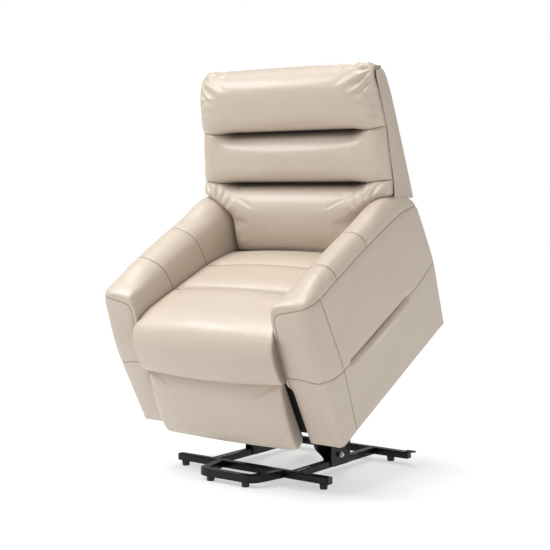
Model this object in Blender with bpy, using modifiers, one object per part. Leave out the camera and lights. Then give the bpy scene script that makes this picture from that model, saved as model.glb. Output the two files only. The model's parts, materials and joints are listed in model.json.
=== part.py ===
"""Lift recliner chair, standing in its raised position.

World frame: metres, +Z up, the sitter faces -Y, X runs across the chair and the
floor is Z = 0.  The chair body is drawn in its own upright frame, called the
carriage frame here: Y runs to the rear and Z up from the bottom front corner of
the arms.  The carriage empty tilts that frame forward on the lift linkage.
"left" is the +X side and "right" is the -X side, as the sitter has them.
"""
import math

import bmesh
import bpy
from mathutils import Matrix

# ---------------------------------------------------------------- driving sizes
CENTRE_SHIFT_Y = -0.12856      # puts the origin under the middle of the chair
RAISED_TILT = math.radians(28.2)
RAISED_CORNER = (-0.0798, 0.1554)   # carriage origin (y, z) when raised
LOWERED_CORNER = (-0.0800, 0.0520)  # the same point when the chair sits down

CHAIR_HALF_WIDTH = 0.410
ARM_INNER_X = 0.2753
FIT_GAP = 0.0003                # between pieces that touch

# base
TUBE = 0.025                    # square steel tube of the base
TUBE_WALL = 0.002
TUBE_MIDDLE_Z = 0.0285
CROSSBAR_HALF_LENGTH = 0.313
REAR_CROSSBAR_Y = 0.480
RAIL_X = 0.165
LOOP_FRONT_Y = -0.130
FOOT_HEIGHT = 0.016

# lift linkage, base side (y, z)
LIFT_ARM_BASE = (0.186, 0.222)
UPPER_LINK_BASE = (0.172, 0.276)
LIFT_PIVOT_CARRIAGE_Y = 0.500   # both links meet the carriage at this depth
ACTUATOR_BASE = (0.455, 0.078)
CRANK_RADIUS = 0.050
CRANK_ANGLE = math.radians(56.0)    # from the lift arm to the crank
ACTUATOR_X = -0.060
LINK_THICKNESS = 0.005
LINK_X = 0.1868

# footrest linkage, carriage side (y, z)
FOOT_PIVOT = (0.036, 0.224)
FOOTREST_PIVOT = (0.020, 0.184)
FOOT_LINK_A = 0.216
FOOT_LINK_B = 0.180
FOOTREST_HALF_WIDTH = 0.270

# backrest
BACK_PIVOT = (0.600, 0.330)
BACK_LEVER_RADIUS = 0.110
BACK_LEVER_ANGLE = math.radians(-72.5)
RECLINE_ACTUATOR_X = 0.070
FRAME_LEAN = math.radians(16.0)

SIDES = (("left", 1), ("right", -1))

# ---------------------------------------------------------------- scene and looks
for old in list(bpy.data.objects):
    bpy.data.objects.remove(old)

parts = bpy.data.collections.new("lift_recliner_chair")
cutters = bpy.data.collections.new("cutters")
for collection in (parts, cutters):
    bpy.context.scene.collection.children.link(collection)


def make_material(name, colour, roughness, metallic=0.0):
    material = bpy.data.materials.new(name)
    material.use_nodes = True
    shader = material.node_tree.nodes["Principled BSDF"]
    shader.inputs["Base Color"].default_value = (*colour, 1.0)
    shader.inputs["Roughness"].default_value = roughness
    shader.inputs["Metallic"].default_value = metallic
    return material


LEATHER = make_material("beige_leather", (0.62, 0.50, 0.38), 0.42)
BLACK_STEEL = make_material("black_powder_coat", (0.012, 0.012, 0.013), 0.38, 0.3)
ZINC = make_material("zinc_plate", (0.60, 0.61, 0.62), 0.32, 1.0)
WOOD = make_material("plywood", (0.55, 0.38, 0.20), 0.65)
RUBBER = make_material("black_rubber", (0.02, 0.02, 0.02), 0.75)
PLASTIC = make_material("black_plastic", (0.03, 0.03, 0.032), 0.5)
ALUMINIUM = make_material("aluminium_tube", (0.72, 0.73, 0.74), 0.35, 1.0)


# ---------------------------------------------------------------- helpers
def empty(name, parent=None, y=0.0, z=0.0, tilt=0.0):
    """An empty on a joint's axis, turned by tilt about X."""
    holder = bpy.data.objects.new(name, None)
    parts.objects.link(holder)
    holder.parent = parent
    holder.location = (0.0, y, z)
    holder.rotation_euler = (tilt, 0.0, 0.0)
    return holder


def place(name, mesh, material, parent, location=(0.0, 0.0, 0.0), rotation=(0.0, 0.0, 0.0)):
    mesh.materials.clear()
    mesh.materials.append(material)
    piece = bpy.data.objects.new(name, mesh)
    parts.objects.link(piece)
    piece.parent = parent
    piece.location = location
    piece.rotation_euler = rotation
    return piece


def shade_round(mesh):
    mesh.shade_smooth()
    mesh.set_sharp_from_angle(angle=math.radians(35.0))


def add_bevel(piece, width, segments=2):
    bevel = piece.modifiers.new("edges", "BEVEL")
    bevel.width = width
    bevel.segments = segments
    bevel.limit_method = "ANGLE"
    bevel.angle_limit = math.radians(60.0)
    return bevel


def box_mesh(size):
    mesh = bpy.data.meshes.new("box")
    shape = bmesh.new()
    bmesh.ops.create_cube(shape, size=1.0, matrix=Matrix.Diagonal((*size, 1.0)))
    shape.to_mesh(mesh)
    shape.free()
    return mesh


def box(name, low, high, material, parent, bevel=0.0, segments=2):
    """A block between two corners of its parent's frame."""
    size = [high[axis] - low[axis] for axis in range(3)]
    centre = [(high[axis] + low[axis]) / 2.0 for axis in range(3)]
    piece = place(name, box_mesh(size), material, parent, centre)
    if bevel:
        add_bevel(piece, bevel, segments)
    return piece


def cylinder_mesh(radius, length, tip_radius=None, segments=24):
    mesh = bpy.data.meshes.new("cylinder")
    shape = bmesh.new()
    top = radius if tip_radius is None else tip_radius
    bmesh.ops.create_cone(
        shape, cap_ends=True, segments=segments, radius1=radius, radius2=top, depth=length
    )
    shape.to_mesh(mesh)
    shape.free()
    shade_round(mesh)
    return mesh


def cross_pin(name, x_low, x_high, radius, point, material, parent):
    """A cylinder along X through the point (y, z)."""
    location = ((x_low + x_high) / 2.0, *point)
    rotation = (0.0, math.radians(90.0), 0.0)
    mesh = cylinder_mesh(radius, x_high - x_low)
    return place(name, mesh, material, parent, location, rotation)


def rod(name, y_low, y_high, radius, x, z, material, parent):
    """A cylinder along Y."""
    rotation = (math.radians(-90.0), 0.0, 0.0)
    mesh = cylinder_mesh(radius, y_high - y_low)
    return place(name, mesh, material, parent, (x, (y_low + y_high) / 2.0, z), rotation)


def arc(centre, radius, start, end, steps=6):
    """Points of a round stretch, angles in degrees."""
    points = []
    for step in range(steps + 1):
        angle = math.radians(start + (end - start) * step / steps)
        points.append((centre[0] + radius * math.cos(angle), centre[1] + radius * math.sin(angle)))
    return points


def rounded(corners, radius, steps=3, sharp=()):
    """The corners of a polygon, each replaced by a fillet but for the sharp ones."""
    points = []
    count = len(corners)
    for index, corner in enumerate(corners):
        if index in sharp:
            points.append(corner)
            continue
        before = corners[index - 1]
        after = corners[(index + 1) % count]
        to_before = (before[0] - corner[0], before[1] - corner[1])
        to_after = (after[0] - corner[0], after[1] - corner[1])
        reach_before = math.hypot(*to_before)
        reach_after = math.hypot(*to_after)
        cut = min(radius, 0.45 * reach_before, 0.45 * reach_after)
        start = [corner[axis] + to_before[axis] * cut / reach_before for axis in (0, 1)]
        end = [corner[axis] + to_after[axis] * cut / reach_after for axis in (0, 1)]
        for step in range(steps + 1):
            t = step / steps
            weights = ((1 - t) ** 2, 2 * t * (1 - t), t ** 2)
            points.append(tuple(
                weights[0] * start[axis] + weights[1] * corner[axis] + weights[2] * end[axis]
                for axis in (0, 1)
            ))
    return points


def flat_mesh(outline, thickness, holes=()):
    """A flat plate: an outline with holes, as a filled 2D curve made into a mesh."""
    curve = bpy.data.curves.new("outline", "CURVE")
    curve.dimensions = "2D"
    curve.fill_mode = "BOTH"
    curve.extrude = thickness / 2.0
    for ring in (outline, *holes):
        spline = curve.splines.new("POLY")
        spline.points.add(len(ring) - 1)
        for point, (u, v) in zip(spline.points, ring):
            point.co = (u, v, 0.0, 1.0)
        spline.use_cyclic_u = True
    guide = bpy.data.objects.new("outline", curve)
    cutters.objects.link(guide)
    bpy.context.view_layer.update()
    evaluated = guide.evaluated_get(bpy.context.evaluated_depsgraph_get())
    mesh = bpy.data.meshes.new_from_object(evaluated)
    bpy.data.objects.remove(guide)
    bpy.data.curves.remove(curve)
    shape = bmesh.new()
    shape.from_mesh(mesh)
    bmesh.ops.remove_doubles(shape, verts=shape.verts, dist=0.00001)
    shape.to_mesh(mesh)
    shape.free()
    return mesh


SIDE_VIEW = (math.radians(90.0), 0.0, math.radians(90.0))    # outline (y, z), thickness in X
FRONT_VIEW = (math.radians(90.0), 0.0, 0.0)                  # outline (x, z), thickness in Y


def side_plate(name, outline, x_low, x_high, material, parent, holes=(), edge=0.0):
    """A plate whose outline is (y, z) and whose thickness runs from x_low to x_high."""
    mesh = flat_mesh(outline, x_high - x_low, holes)
    plate = place(name, mesh, material, parent, ((x_low + x_high) / 2.0, 0.0, 0.0), SIDE_VIEW)
    if edge:
        add_bevel(plate, edge)
    return plate


def front_plate(name, outline, y_low, y_high, material, parent, holes=(), edge=0.0, lean=0.0):
    """A plate whose outline is (x, z) and whose thickness runs from y_low to y_high."""
    mesh = flat_mesh(outline, y_high - y_low, holes)
    rotation = (FRONT_VIEW[0] - lean, 0.0, 0.0)
    plate = place(name, mesh, material, parent, (0.0, (y_low + y_high) / 2.0, 0.0), rotation)
    if edge:
        add_bevel(plate, edge)
    return plate


def use_as_cutter(piece):
    parts.objects.unlink(piece)
    cutters.objects.link(piece)
    piece.hide_render = True
    piece.display_type = "WIRE"


def combine(piece, other, operation):
    """Weld another shape on, or cut it away, with a Boolean modifier."""
    use_as_cutter(other)
    modifier = piece.modifiers.new(operation.lower(), "BOOLEAN")
    modifier.operation = operation
    modifier.object = other
    return piece


def weld(piece, *others):
    for other in others:
        combine(piece, other, "UNION")
    return piece


def turned(point, angle):
    """The point (y, z) turned about the origin."""
    c, s = math.cos(angle), math.sin(angle)
    return (c * point[0] - s * point[1], s * point[0] + c * point[1])


def raised_position(point):
    """World (y, z) of a carriage point when the chair is raised."""
    y, z = turned(point, RAISED_TILT)
    return (RAISED_CORNER[0] + y, RAISED_CORNER[1] + z)


def lowered_position(point):
    return (LOWERED_CORNER[0] + point[0], LOWERED_CORNER[1] + point[1])


def carriage_pivot(base_pivot):
    """The carriage pivot that is as far from its base pivot raised as lowered."""
    def mismatch(z):
        raised = math.dist(raised_position((LIFT_PIVOT_CARRIAGE_Y, z)), base_pivot)
        lowered = math.dist(lowered_position((LIFT_PIVOT_CARRIAGE_Y, z)), base_pivot)
        return raised ** 2 - lowered ** 2

    height = -mismatch(0.0) / (mismatch(1.0) - mismatch(0.0))
    return (LIFT_PIVOT_CARRIAGE_Y, height)


def direction(start, end):
    return math.atan2(end[1] - start[1], end[0] - start[0])


LIFT_ARM_TOP = carriage_pivot(LIFT_ARM_BASE)
UPPER_LINK_TOP = carriage_pivot(UPPER_LINK_BASE)
LIFT_ARM_LENGTH = math.dist(raised_position(LIFT_ARM_TOP), LIFT_ARM_BASE)
UPPER_LINK_LENGTH = math.dist(raised_position(UPPER_LINK_TOP), UPPER_LINK_BASE)
LIFT_ARM_ANGLE = direction(LIFT_ARM_BASE, raised_position(LIFT_ARM_TOP))
UPPER_LINK_ANGLE = direction(UPPER_LINK_BASE, raised_position(UPPER_LINK_TOP))


def foot_elbow():
    """Where the two footrest links meet while the footrest is folded away."""
    reach = math.dist(FOOT_PIVOT, FOOTREST_PIVOT)
    cosine = (FOOT_LINK_A ** 2 + reach ** 2 - FOOT_LINK_B ** 2) / (2 * FOOT_LINK_A * reach)
    angle = direction(FOOT_PIVOT, FOOTREST_PIVOT) + math.acos(cosine)
    y = FOOT_PIVOT[0] + FOOT_LINK_A * math.cos(angle)
    z = FOOT_PIVOT[1] + FOOT_LINK_A * math.sin(angle)
    return (y, z), angle


FOOT_ELBOW, FOOT_LINK_A_ANGLE = foot_elbow()
FOOT_LINK_B_ANGLE = direction(FOOT_ELBOW, FOOTREST_PIVOT)


# ---------------------------------------------------------------- joint holders
origin = empty("frame_origin", y=CENTRE_SHIFT_Y)
base = empty("base_frame", origin)
carriage = empty("carriage", origin, *RAISED_CORNER, RAISED_TILT)
lift_arm = empty("lift_arm_axis", origin, *LIFT_ARM_BASE, LIFT_ARM_ANGLE)
upper_link = empty("upper_link_axis", origin, *UPPER_LINK_BASE, UPPER_LINK_ANGLE)
crank_pin_raised = (
    LIFT_ARM_BASE[0] + CRANK_RADIUS * math.cos(LIFT_ARM_ANGLE + CRANK_ANGLE),
    LIFT_ARM_BASE[1] + CRANK_RADIUS * math.sin(LIFT_ARM_ANGLE + CRANK_ANGLE),
)
lift_actuator = empty(
    "lift_actuator_axis", origin, *ACTUATOR_BASE, direction(ACTUATOR_BASE, crank_pin_raised)
)
foot_link_a = empty("foot_link_a_axis", carriage, *FOOT_PIVOT, FOOT_LINK_A_ANGLE)
foot_link_b = empty("foot_link_b_axis", carriage, *FOOT_ELBOW, FOOT_LINK_B_ANGLE)
footrest = empty("footrest_axis", carriage, *FOOTREST_PIVOT)
backrest = empty("backrest_axis", carriage, *BACK_PIVOT)


# ---------------------------------------------------------------- base
def square_ring(side, corner, steps=2):
    half = side / 2.0
    return rounded([(-half, -half), (half, -half), (half, half), (-half, half)], corner, steps)


def tube_along_x(name, half_length, y):
    outline = [(y + u, TUBE_MIDDLE_Z + v) for u, v in square_ring(TUBE, 0.004)]
    bore = [(y + u, TUBE_MIDDLE_Z + v) for u, v in square_ring(TUBE - 2 * TUBE_WALL, 0.002, 1)]
    return side_plate(name, outline, -half_length, half_length, BLACK_STEEL, base, (bore,))


def build_crossbars():
    cap_head = 0.006
    half_length = CROSSBAR_HALF_LENGTH - cap_head - FIT_GAP
    tube_along_x("front_crossbar", half_length, 0.0)
    rear = tube_along_x("rear_crossbar", half_length, REAR_CROSSBAR_Y)
    for side, sign in SIDES:
        for end, y in (("front", 0.0), ("rear", REAR_CROSSBAR_Y)):
            build_tube_cap(f"{end}_crossbar_cap_{side}", sign, y, half_length, cap_head)
        weld(rear, build_transport_lug(side, sign))
    for ear_x in (ACTUATOR_X - 0.017, ACTUATOR_X + 0.017):
        weld(rear, build_actuator_ear(ear_x))


def build_tube_cap(name, sign, y, tube_end, head):
    """A plastic plug: a square neck inside the tube and a rounded head outside."""
    neck_half = TUBE / 2.0 - TUBE_WALL - 0.0010
    neck_length = 0.012
    half = TUBE / 2.0 - 0.0008
    middle = TUBE_MIDDLE_Z
    head_x = sorted((sign * (tube_end + FIT_GAP), sign * (tube_end + FIT_GAP + head)))
    neck_x = sorted((sign * (tube_end - neck_length), sign * (tube_end + head / 2.0)))
    cap = box(name, (head_x[0], y - half, middle - half), (head_x[1], y + half, middle + half),
              PLASTIC, base, bevel=0.0027, segments=2)
    neck = box(name + "_neck", (neck_x[0], y - neck_half, middle - neck_half),
               (neck_x[1], y + neck_half, middle + neck_half), PLASTIC, base)
    weld(cap, neck)


def build_transport_lug(side, sign):
    """A flat lug with a hole, welded on top of the rear tube's end."""
    width = 0.020
    height = 0.004
    length = 0.036
    outline = rounded([(-length / 2, -width / 2), (length / 2, -width / 2),
                       (length / 2, width / 2), (-length / 2, width / 2)], 0.008)
    hole = arc((sign * 0.007, 0.0), 0.004, 0.0, 330.0, 11)
    mesh = flat_mesh(outline, height, (hole,))
    top = TUBE_MIDDLE_Z + TUBE / 2.0 + height / 2.0 - 0.0005
    location = (sign * (CROSSBAR_HALF_LENGTH + 0.004), REAR_CROSSBAR_Y, top)
    lug = place(f"transport_lug_{side}", mesh, BLACK_STEEL, base, location)
    return lug


def build_actuator_ear(x):
    """One ear of the clevis that holds the foot of the lift actuator."""
    y, z = ACTUATOR_BASE
    foot = TUBE_MIDDLE_Z + TUBE / 2.0 - 0.0005
    outline = [(REAR_CROSSBAR_Y - 0.011, foot), (REAR_CROSSBAR_Y + 0.011, foot)]
    outline += arc((y, z), 0.013, 20.0, 200.0, 8)
    bore = arc((y, z), 0.0053, 0.0, 330.0, 11)
    return side_plate("actuator_ear", outline, x - 0.002, x + 0.002, BLACK_STEEL, base, (bore,))


def build_side_rails():
    start = TUBE / 2.0 + FIT_GAP
    end = REAR_CROSSBAR_Y - TUBE / 2.0 - FIT_GAP
    for side, sign in SIDES:
        outline = [(sign * RAIL_X + u, TUBE_MIDDLE_Z + v) for u, v in square_ring(TUBE, 0.004)]
        bore = [(sign * RAIL_X + u, TUBE_MIDDLE_Z + v)
                for u, v in square_ring(TUBE - 2 * TUBE_WALL, 0.002, 1)]
        front_plate(f"side_rail_{side}", outline, start, end, BLACK_STEEL, base, (bore,))


def build_bumper_loop():
    """The U-shaped tube that reaches forward from the front crossbar."""
    back = -TUBE / 2.0 - FIT_GAP
    wide, narrow = 0.1375, 0.1125
    front = LOOP_FRONT_Y - TUBE / 2.0
    outer = [(-wide, back), (-narrow, front), (narrow, front), (wide, back)]
    inner = [(wide - TUBE, back), (narrow - TUBE, front + TUBE)]
    inner += [(-(narrow - TUBE), front + TUBE), (-(wide - TUBE), back)]
    left_out = rounded(outer, 0.034, 5)
    left_in = rounded(inner, 0.012, 4)
    outer_run = [outer[0]] + left_out[6:18] + [outer[3]]
    inner_run = [inner[0]] + left_in[5:15] + [inner[3]]
    mesh = flat_mesh(outer_run + inner_run, TUBE)
    loop = place("front_bumper_loop", mesh, BLACK_STEEL, base, (0.0, 0.0, TUBE_MIDDLE_Z))
    add_bevel(loop, 0.003)


def build_feet():
    spots = (("front", 0.286, 0.0), ("bumper", 0.0715, -0.125), ("rear", 0.237, REAR_CROSSBAR_Y))
    height = FOOT_HEIGHT - FIT_GAP
    for end, x, y in spots:
        for side, sign in SIDES:
            mesh = cylinder_mesh(0.0118, height, 0.0135)
            place(f"{end}_foot_{side}", mesh, RUBBER, base, (sign * x, y, height / 2.0))


def mirrored(sign, near, far):
    """The x range between two distances from the middle, on one side."""
    return sorted((sign * near, sign * far))


def build_brackets():
    """Plates on both faces of each rail that carry the two lift links."""
    rail_half = TUBE / 2.0
    outer_near = RAIL_X + rail_half + FIT_GAP
    inner_far = RAIL_X - rail_half - FIT_GAP
    thickness = 0.004
    outer = rounded([(0.196, 0.018), (0.308, 0.018), (0.308, 0.130), (0.222, 0.262),
                     (0.196, 0.302), (0.150, 0.302), (0.148, 0.250), (0.158, 0.190),
                     (0.196, 0.100)], 0.014, 2)
    inner = rounded([(0.198, 0.018), (0.300, 0.018), (0.300, 0.090), (0.220, 0.240),
                     (0.196, 0.302), (0.152, 0.302), (0.146, 0.250), (0.140, 0.089),
                     (0.198, 0.044)], 0.014, 2)
    bore = arc(LIFT_ARM_BASE, 0.0115, 0.0, 330.0, 11)
    link_outer = LINK_X + LINK_THICKNESS / 2.0
    for side, sign in SIDES:
        near, far = mirrored(sign, outer_near, outer_near + thickness)
        plate = side_plate(f"outer_bracket_{side}", outer, near, far, BLACK_STEEL, base, (bore,))
        stud_x = mirrored(sign, outer_near + thickness / 2.0, link_outer)
        weld(plate, cross_pin("upper_link_stud", *stud_x, 0.0055, UPPER_LINK_BASE, ZINC, base))
        near, far = mirrored(sign, inner_far - thickness, inner_far)
        plate = side_plate(f"inner_bracket_{side}", inner, near, far, BLACK_STEEL, base, (bore,))
        bolt_x = mirrored(sign, inner_far - thickness / 2.0, outer_near - FIT_GAP)
        weld(plate, cross_pin("bracket_spacer", *bolt_x, 0.0055, (0.213, 0.059), ZINC, base))


# ---------------------------------------------------------------- lift linkage
def link_outline(length, half_width):
    """A strap with round ends, from the origin along +Y."""
    far_end = arc((length, 0.0), half_width, -90.0, 90.0, 8)
    near_end = arc((0.0, 0.0), half_width, 90.0, 270.0, 8)
    return far_end + near_end


def build_lift_arm():
    """Two side straps and a crank, welded to one torque tube."""
    half_width = 0.013
    bore = arc((LIFT_ARM_LENGTH, 0.0), 0.0063, 0.0, 330.0, 11)
    tube_end = LINK_X - 0.001
    axis = (0.0, 0.0)
    torque_tube = cross_pin("lift_arm_frame", -tube_end, tube_end, 0.011, axis, BLACK_STEEL, lift_arm)
    hollow = cross_pin("torque_tube_bore", -0.2, 0.2, 0.0085, axis, BLACK_STEEL, lift_arm)
    for _, sign in SIDES:
        near, far = mirrored(sign, LINK_X - LINK_THICKNESS / 2.0, LINK_X + LINK_THICKNESS / 2.0)
        outline = link_outline(LIFT_ARM_LENGTH, half_width)
        strap = side_plate("lift_strap", outline, near, far, BLACK_STEEL, lift_arm, (bore,))
        weld(torque_tube, strap)
    crank = side_plate("crank", link_outline(CRANK_RADIUS, 0.010),
                       ACTUATOR_X - 0.003, ACTUATOR_X + 0.003, BLACK_STEEL, lift_arm)
    turn = Matrix.Rotation(CRANK_ANGLE, 3, "X")
    crank.rotation_euler = (turn @ crank.rotation_euler.to_matrix()).to_euler()
    pin_spot = (CRANK_RADIUS * math.cos(CRANK_ANGLE), CRANK_RADIUS * math.sin(CRANK_ANGLE))
    pin = cross_pin("crank_pin", ACTUATOR_X - 0.0125, ACTUATOR_X + 0.0125, 0.0045, pin_spot,
                    ZINC, lift_arm)
    weld(torque_tube, crank, pin)
    combine(torque_tube, hollow, "DIFFERENCE")


def build_upper_links():
    half_width = 0.0115
    bore = arc((0.0, 0.0), 0.0058, 0.0, 330.0, 11)
    for side, sign in SIDES:
        near, far = mirrored(sign, LINK_X - LINK_THICKNESS / 2.0, LINK_X + LINK_THICKNESS / 2.0)
        strap = side_plate(f"upper_link_{side}", link_outline(UPPER_LINK_LENGTH, half_width),
                           near, far, BLACK_STEEL, upper_link, (bore,))
        stud_x = mirrored(sign, LINK_X, LINK_X + 0.0090)
        stud_spot = (UPPER_LINK_LENGTH, 0.0)
        weld(strap, cross_pin("slot_stud", *stud_x, 0.0055, stud_spot, ZINC, upper_link))


def build_lift_actuator():
    """Motor and gearbox with the outer tube, on the clevis of the rear crossbar."""
    x = ACTUATOR_X
    housing = rod("lift_actuator_body", 0.028, 0.205, 0.019, x, 0.0, BLACK_STEEL, lift_actuator)
    gearbox = box("lift_gearbox", (x - 0.026, 0.014, -0.024), (x + 0.026, 0.075, 0.024),
                  PLASTIC, lift_actuator, bevel=0.005)
    motor = rod("lift_motor", 0.030, 0.125, 0.018, x + 0.046, 0.0, PLASTIC, lift_actuator)
    motor_seat = box("lift_motor_seat", (x + 0.020, 0.030, -0.018), (x + 0.050, 0.065, 0.018),
                     PLASTIC, lift_actuator)
    foot = box("lift_actuator_foot", (x - 0.0145, 0.0, -0.010), (x + 0.0145, 0.020, 0.010),
               PLASTIC, lift_actuator)
    pin = cross_pin("lift_actuator_pin", x - 0.0205, x + 0.0205, 0.005, (0.0, 0.0), ZINC, lift_actuator)
    bore = rod("lift_actuator_bore", 0.061, 0.230, 0.0105, x, 0.0, BLACK_STEEL, lift_actuator)
    weld(housing, gearbox, motor_seat, motor, foot, pin)
    combine(housing, bore, "DIFFERENCE")


def build_lift_rod():
    """The rod and its slotted fork; the crank pin rides across the slot."""
    reach = math.dist(ACTUATOR_BASE, crank_pin_raised)
    x = ACTUATOR_X
    stem = rod("lift_actuator_rod", 0.130, reach - 0.046, 0.010, x, 0.0, ALUMINIUM, lift_actuator)
    bridge = box("fork_bridge", (x - 0.011, reach - 0.052, -0.012), (x + 0.011, reach - 0.043, 0.012),
                 BLACK_STEEL, lift_actuator)
    weld(stem, bridge)
    outline = rounded([(reach - 0.050, -0.011), (reach - 0.022, -0.0210), (reach + 0.0135, -0.0210),
                       (reach + 0.0135, 0.010), (reach - 0.050, 0.011)], 0.005, 2)
    slot = rounded([(reach - 0.0054, 0.0054), (reach - 0.0046, -0.0162), (reach + 0.0088, -0.0162),
                    (reach + 0.0088, -0.0045), (reach + 0.0054, 0.0054)], 0.005, 4)
    for sign in (1, -1):
        near, far = sorted((x + sign * 0.0065, x + sign * 0.0105))
        weld(stem, side_plate("fork_cheek", outline, near, far, BLACK_STEEL, lift_actuator, (slot,)))


# ---------------------------------------------------------------- seat frame
PLATE_NEAR = 0.1918
PLATE_FAR = 0.1958
LINK_A_FAR = 0.2001
LINK_B_FAR = 0.2044
BRACKET_FAR = 0.2087
SEAT_RAIL_NEAR = 0.2447
SEAT_RAIL_TOP = 0.2957
CROSS_TUBE_Z = (0.2635, 0.2835)


def build_carriage_plates():
    """The steel side plates that join the lift links to the seat frame."""
    top = CROSS_TUBE_Z[0] - FIT_GAP
    foot_y, foot_z = FOOT_PIVOT
    link_y, link_z = LIFT_ARM_TOP
    back_y, back_z = BACK_PIVOT
    outline = rounded([(foot_y - 0.014, foot_z - 0.014), (foot_y + 0.030, foot_z - 0.012),
                       (0.300, 0.185), (0.420, 0.110), (link_y - 0.022, link_z - 0.008),
                       (link_y - 0.012, link_z - 0.016), (link_y + 0.014, link_z - 0.016),
                       (0.545, 0.120), (back_y + 0.016, 0.240), (back_y + 0.016, back_z + 0.018),
                       (back_y - 0.020, back_z + 0.018), (back_y - 0.024, top),
                       (foot_y - 0.014, top)], 0.010, 2)
    slot_y, slot_z = UPPER_LINK_TOP
    slot = arc((slot_y, slot_z + 0.0052), 0.0062, 0.0, 180.0, 6)
    slot += arc((slot_y, slot_z - 0.0002), 0.0062, 180.0, 360.0, 6)
    for side, sign in SIDES:
        plate = side_plate(f"carriage_plate_{side}", outline, *mirrored(sign, PLATE_NEAR, PLATE_FAR),
                           BLACK_STEEL, carriage, (slot,))
        studs = (
            (LIFT_ARM_TOP, mirrored(sign, LINK_X - LINK_THICKNESS / 2.0, PLATE_FAR - 0.001), 0.006),
            (FOOT_PIVOT, mirrored(sign, PLATE_NEAR + 0.001, LINK_A_FAR), 0.005),
            (BACK_PIVOT, mirrored(sign, PLATE_NEAR + 0.001, LINK_A_FAR), 0.006),
        )
        for point, reach, radius in studs:
            weld(plate, cross_pin("plate_stud", *reach, radius, point, ZINC, carriage))


def build_seat_frame():
    end = SEAT_RAIL_NEAR - FIT_GAP
    low, high = CROSS_TUBE_Z
    tube_y, tube_z = 0.080, (low + high) / 2.0
    outline = [(tube_y + u, tube_z + v) for u, v in square_ring(high - low, 0.003)]
    hollow = square_ring(high - low - 2 * TUBE_WALL, 0.0015, 1)
    bore = [(tube_y + u, tube_z + v) for u, v in hollow]
    side_plate("seat_cross_tube", outline, -end, end, BLACK_STEEL, carriage, (bore,))
    for side, sign in SIDES:
        near, far = mirrored(sign, SEAT_RAIL_NEAR, ARM_INNER_X - FIT_GAP)
        box(f"seat_rail_{side}", (near, 0.0273, 0.212), (far, 0.660, SEAT_RAIL_TOP), WOOD, carriage)
    rail = ARM_INNER_X - FIT_GAP
    deck = box("seat_deck", (-end, 0.0200, high + FIT_GAP), (end, 0.530, SEAT_RAIL_TOP), WOOD, carriage)
    weld(deck, box("front_seat_rail", (-rail, 0.005, 0.262), (rail, 0.027, SEAT_RAIL_TOP), WOOD, carriage))


def build_seat_cushion():
    notch = (0.0045, SEAT_RAIL_TOP + FIT_GAP)
    outline = rounded([(0.535, notch[1]), (0.535, 0.352), (0.395, 0.400), (0.221, 0.420),
                       (0.081, 0.424), (0.0, 0.412), (-0.038, 0.370), (-0.052, 0.300),
                       (-0.034, 0.240), (-0.004, 0.236), (notch[0], 0.255), notch],
                      0.020, 2, sharp=(0, 10, 11))
    side_plate("seat_cushion", outline, -0.2720, 0.2720, LEATHER, carriage, edge=0.014)


def build_rear_skirt():
    half = 0.2985
    outline = rounded([(-half, 0.004), (half, 0.004), (half, 0.285), (-half, 0.285)], 0.006, 2)
    front_plate("rear_skirt", outline, 0.664, 0.684, LEATHER, carriage, edge=0.004)


def build_recline_actuator():
    """The motor that pushes the lever under the backrest."""
    x, z = RECLINE_ACTUATOR_X, BACK_PIVOT[1] - BACK_LEVER_RADIUS + 0.0025
    hanger_y = 0.080
    body = rod("recline_actuator_body", 0.105, 0.345, 0.019, x, z, BLACK_STEEL, carriage)
    gearbox = box("recline_gearbox", (x - 0.026, 0.090, z - 0.022), (x + 0.026, 0.160, z + 0.022),
                  PLASTIC, carriage, bevel=0.005)
    motor = rod("recline_motor", 0.110, 0.210, 0.018, x - 0.046, z, PLASTIC, carriage)
    motor_seat = box("recline_motor_seat", (x - 0.050, 0.110, z - 0.018), (x - 0.020, 0.150, z + 0.018),
                     PLASTIC, carriage)
    hanger = box("recline_hanger", (x - 0.012, hanger_y - 0.009, z - 0.010),
                 (x + 0.012, hanger_y + 0.015, CROSS_TUBE_Z[0] - FIT_GAP), BLACK_STEEL, carriage)
    bore = rod("recline_bore", 0.154, 0.360, 0.0105, x, z, BLACK_STEEL, carriage)
    weld(body, gearbox, motor_seat, motor, hanger)
    combine(body, bore, "DIFFERENCE")

    lever_y = BACK_PIVOT[0] + BACK_LEVER_RADIUS * math.cos(BACK_LEVER_ANGLE)
    stem = rod("recline_actuator_rod", 0.225, lever_y - 0.024, 0.010, x, z, ALUMINIUM, carriage)
    bridge = box("recline_fork_bridge", (x - 0.011, lever_y - 0.032, z - 0.011),
                 (x + 0.011, lever_y - 0.022, z + 0.011), BLACK_STEEL, carriage)
    weld(stem, bridge)
    outline = rounded([(lever_y - 0.030, z - 0.011), (lever_y + 0.011, z - 0.014),
                       (lever_y + 0.011, z + 0.014), (lever_y - 0.030, z + 0.011)], 0.004, 2)
    slot = arc((lever_y, z + 0.0030), 0.0063, 0.0, 180.0, 6)
    slot += arc((lever_y, z - 0.0030), 0.0063, 180.0, 360.0, 6)
    for sign in (1, -1):
        near, far = sorted((x + sign * 0.0055, x + sign * 0.0095))
        weld(stem, side_plate("recline_fork_cheek", outline, near, far, BLACK_STEEL, carriage, (slot,)))


# ---------------------------------------------------------------- arms
SEAM_FRONT = (0.0310, 0.226)        # horizontal seam on the outer side, front to rear
SEAM_POCKET_START = (0.161, 0.2065)
SEAM_POCKET_END = (0.548, 0.2065)
SEAM_REAR = (0.740, 0.226)
POCKET_GAP = 0.0120
PANEL_NEAR = 0.3853


def build_arms():
    for side, sign in SIDES:
        build_arm_frame(side, sign)
        build_side_panels(side, sign)
        build_arm_front(side, sign)
        build_arm_top(side, sign)


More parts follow.
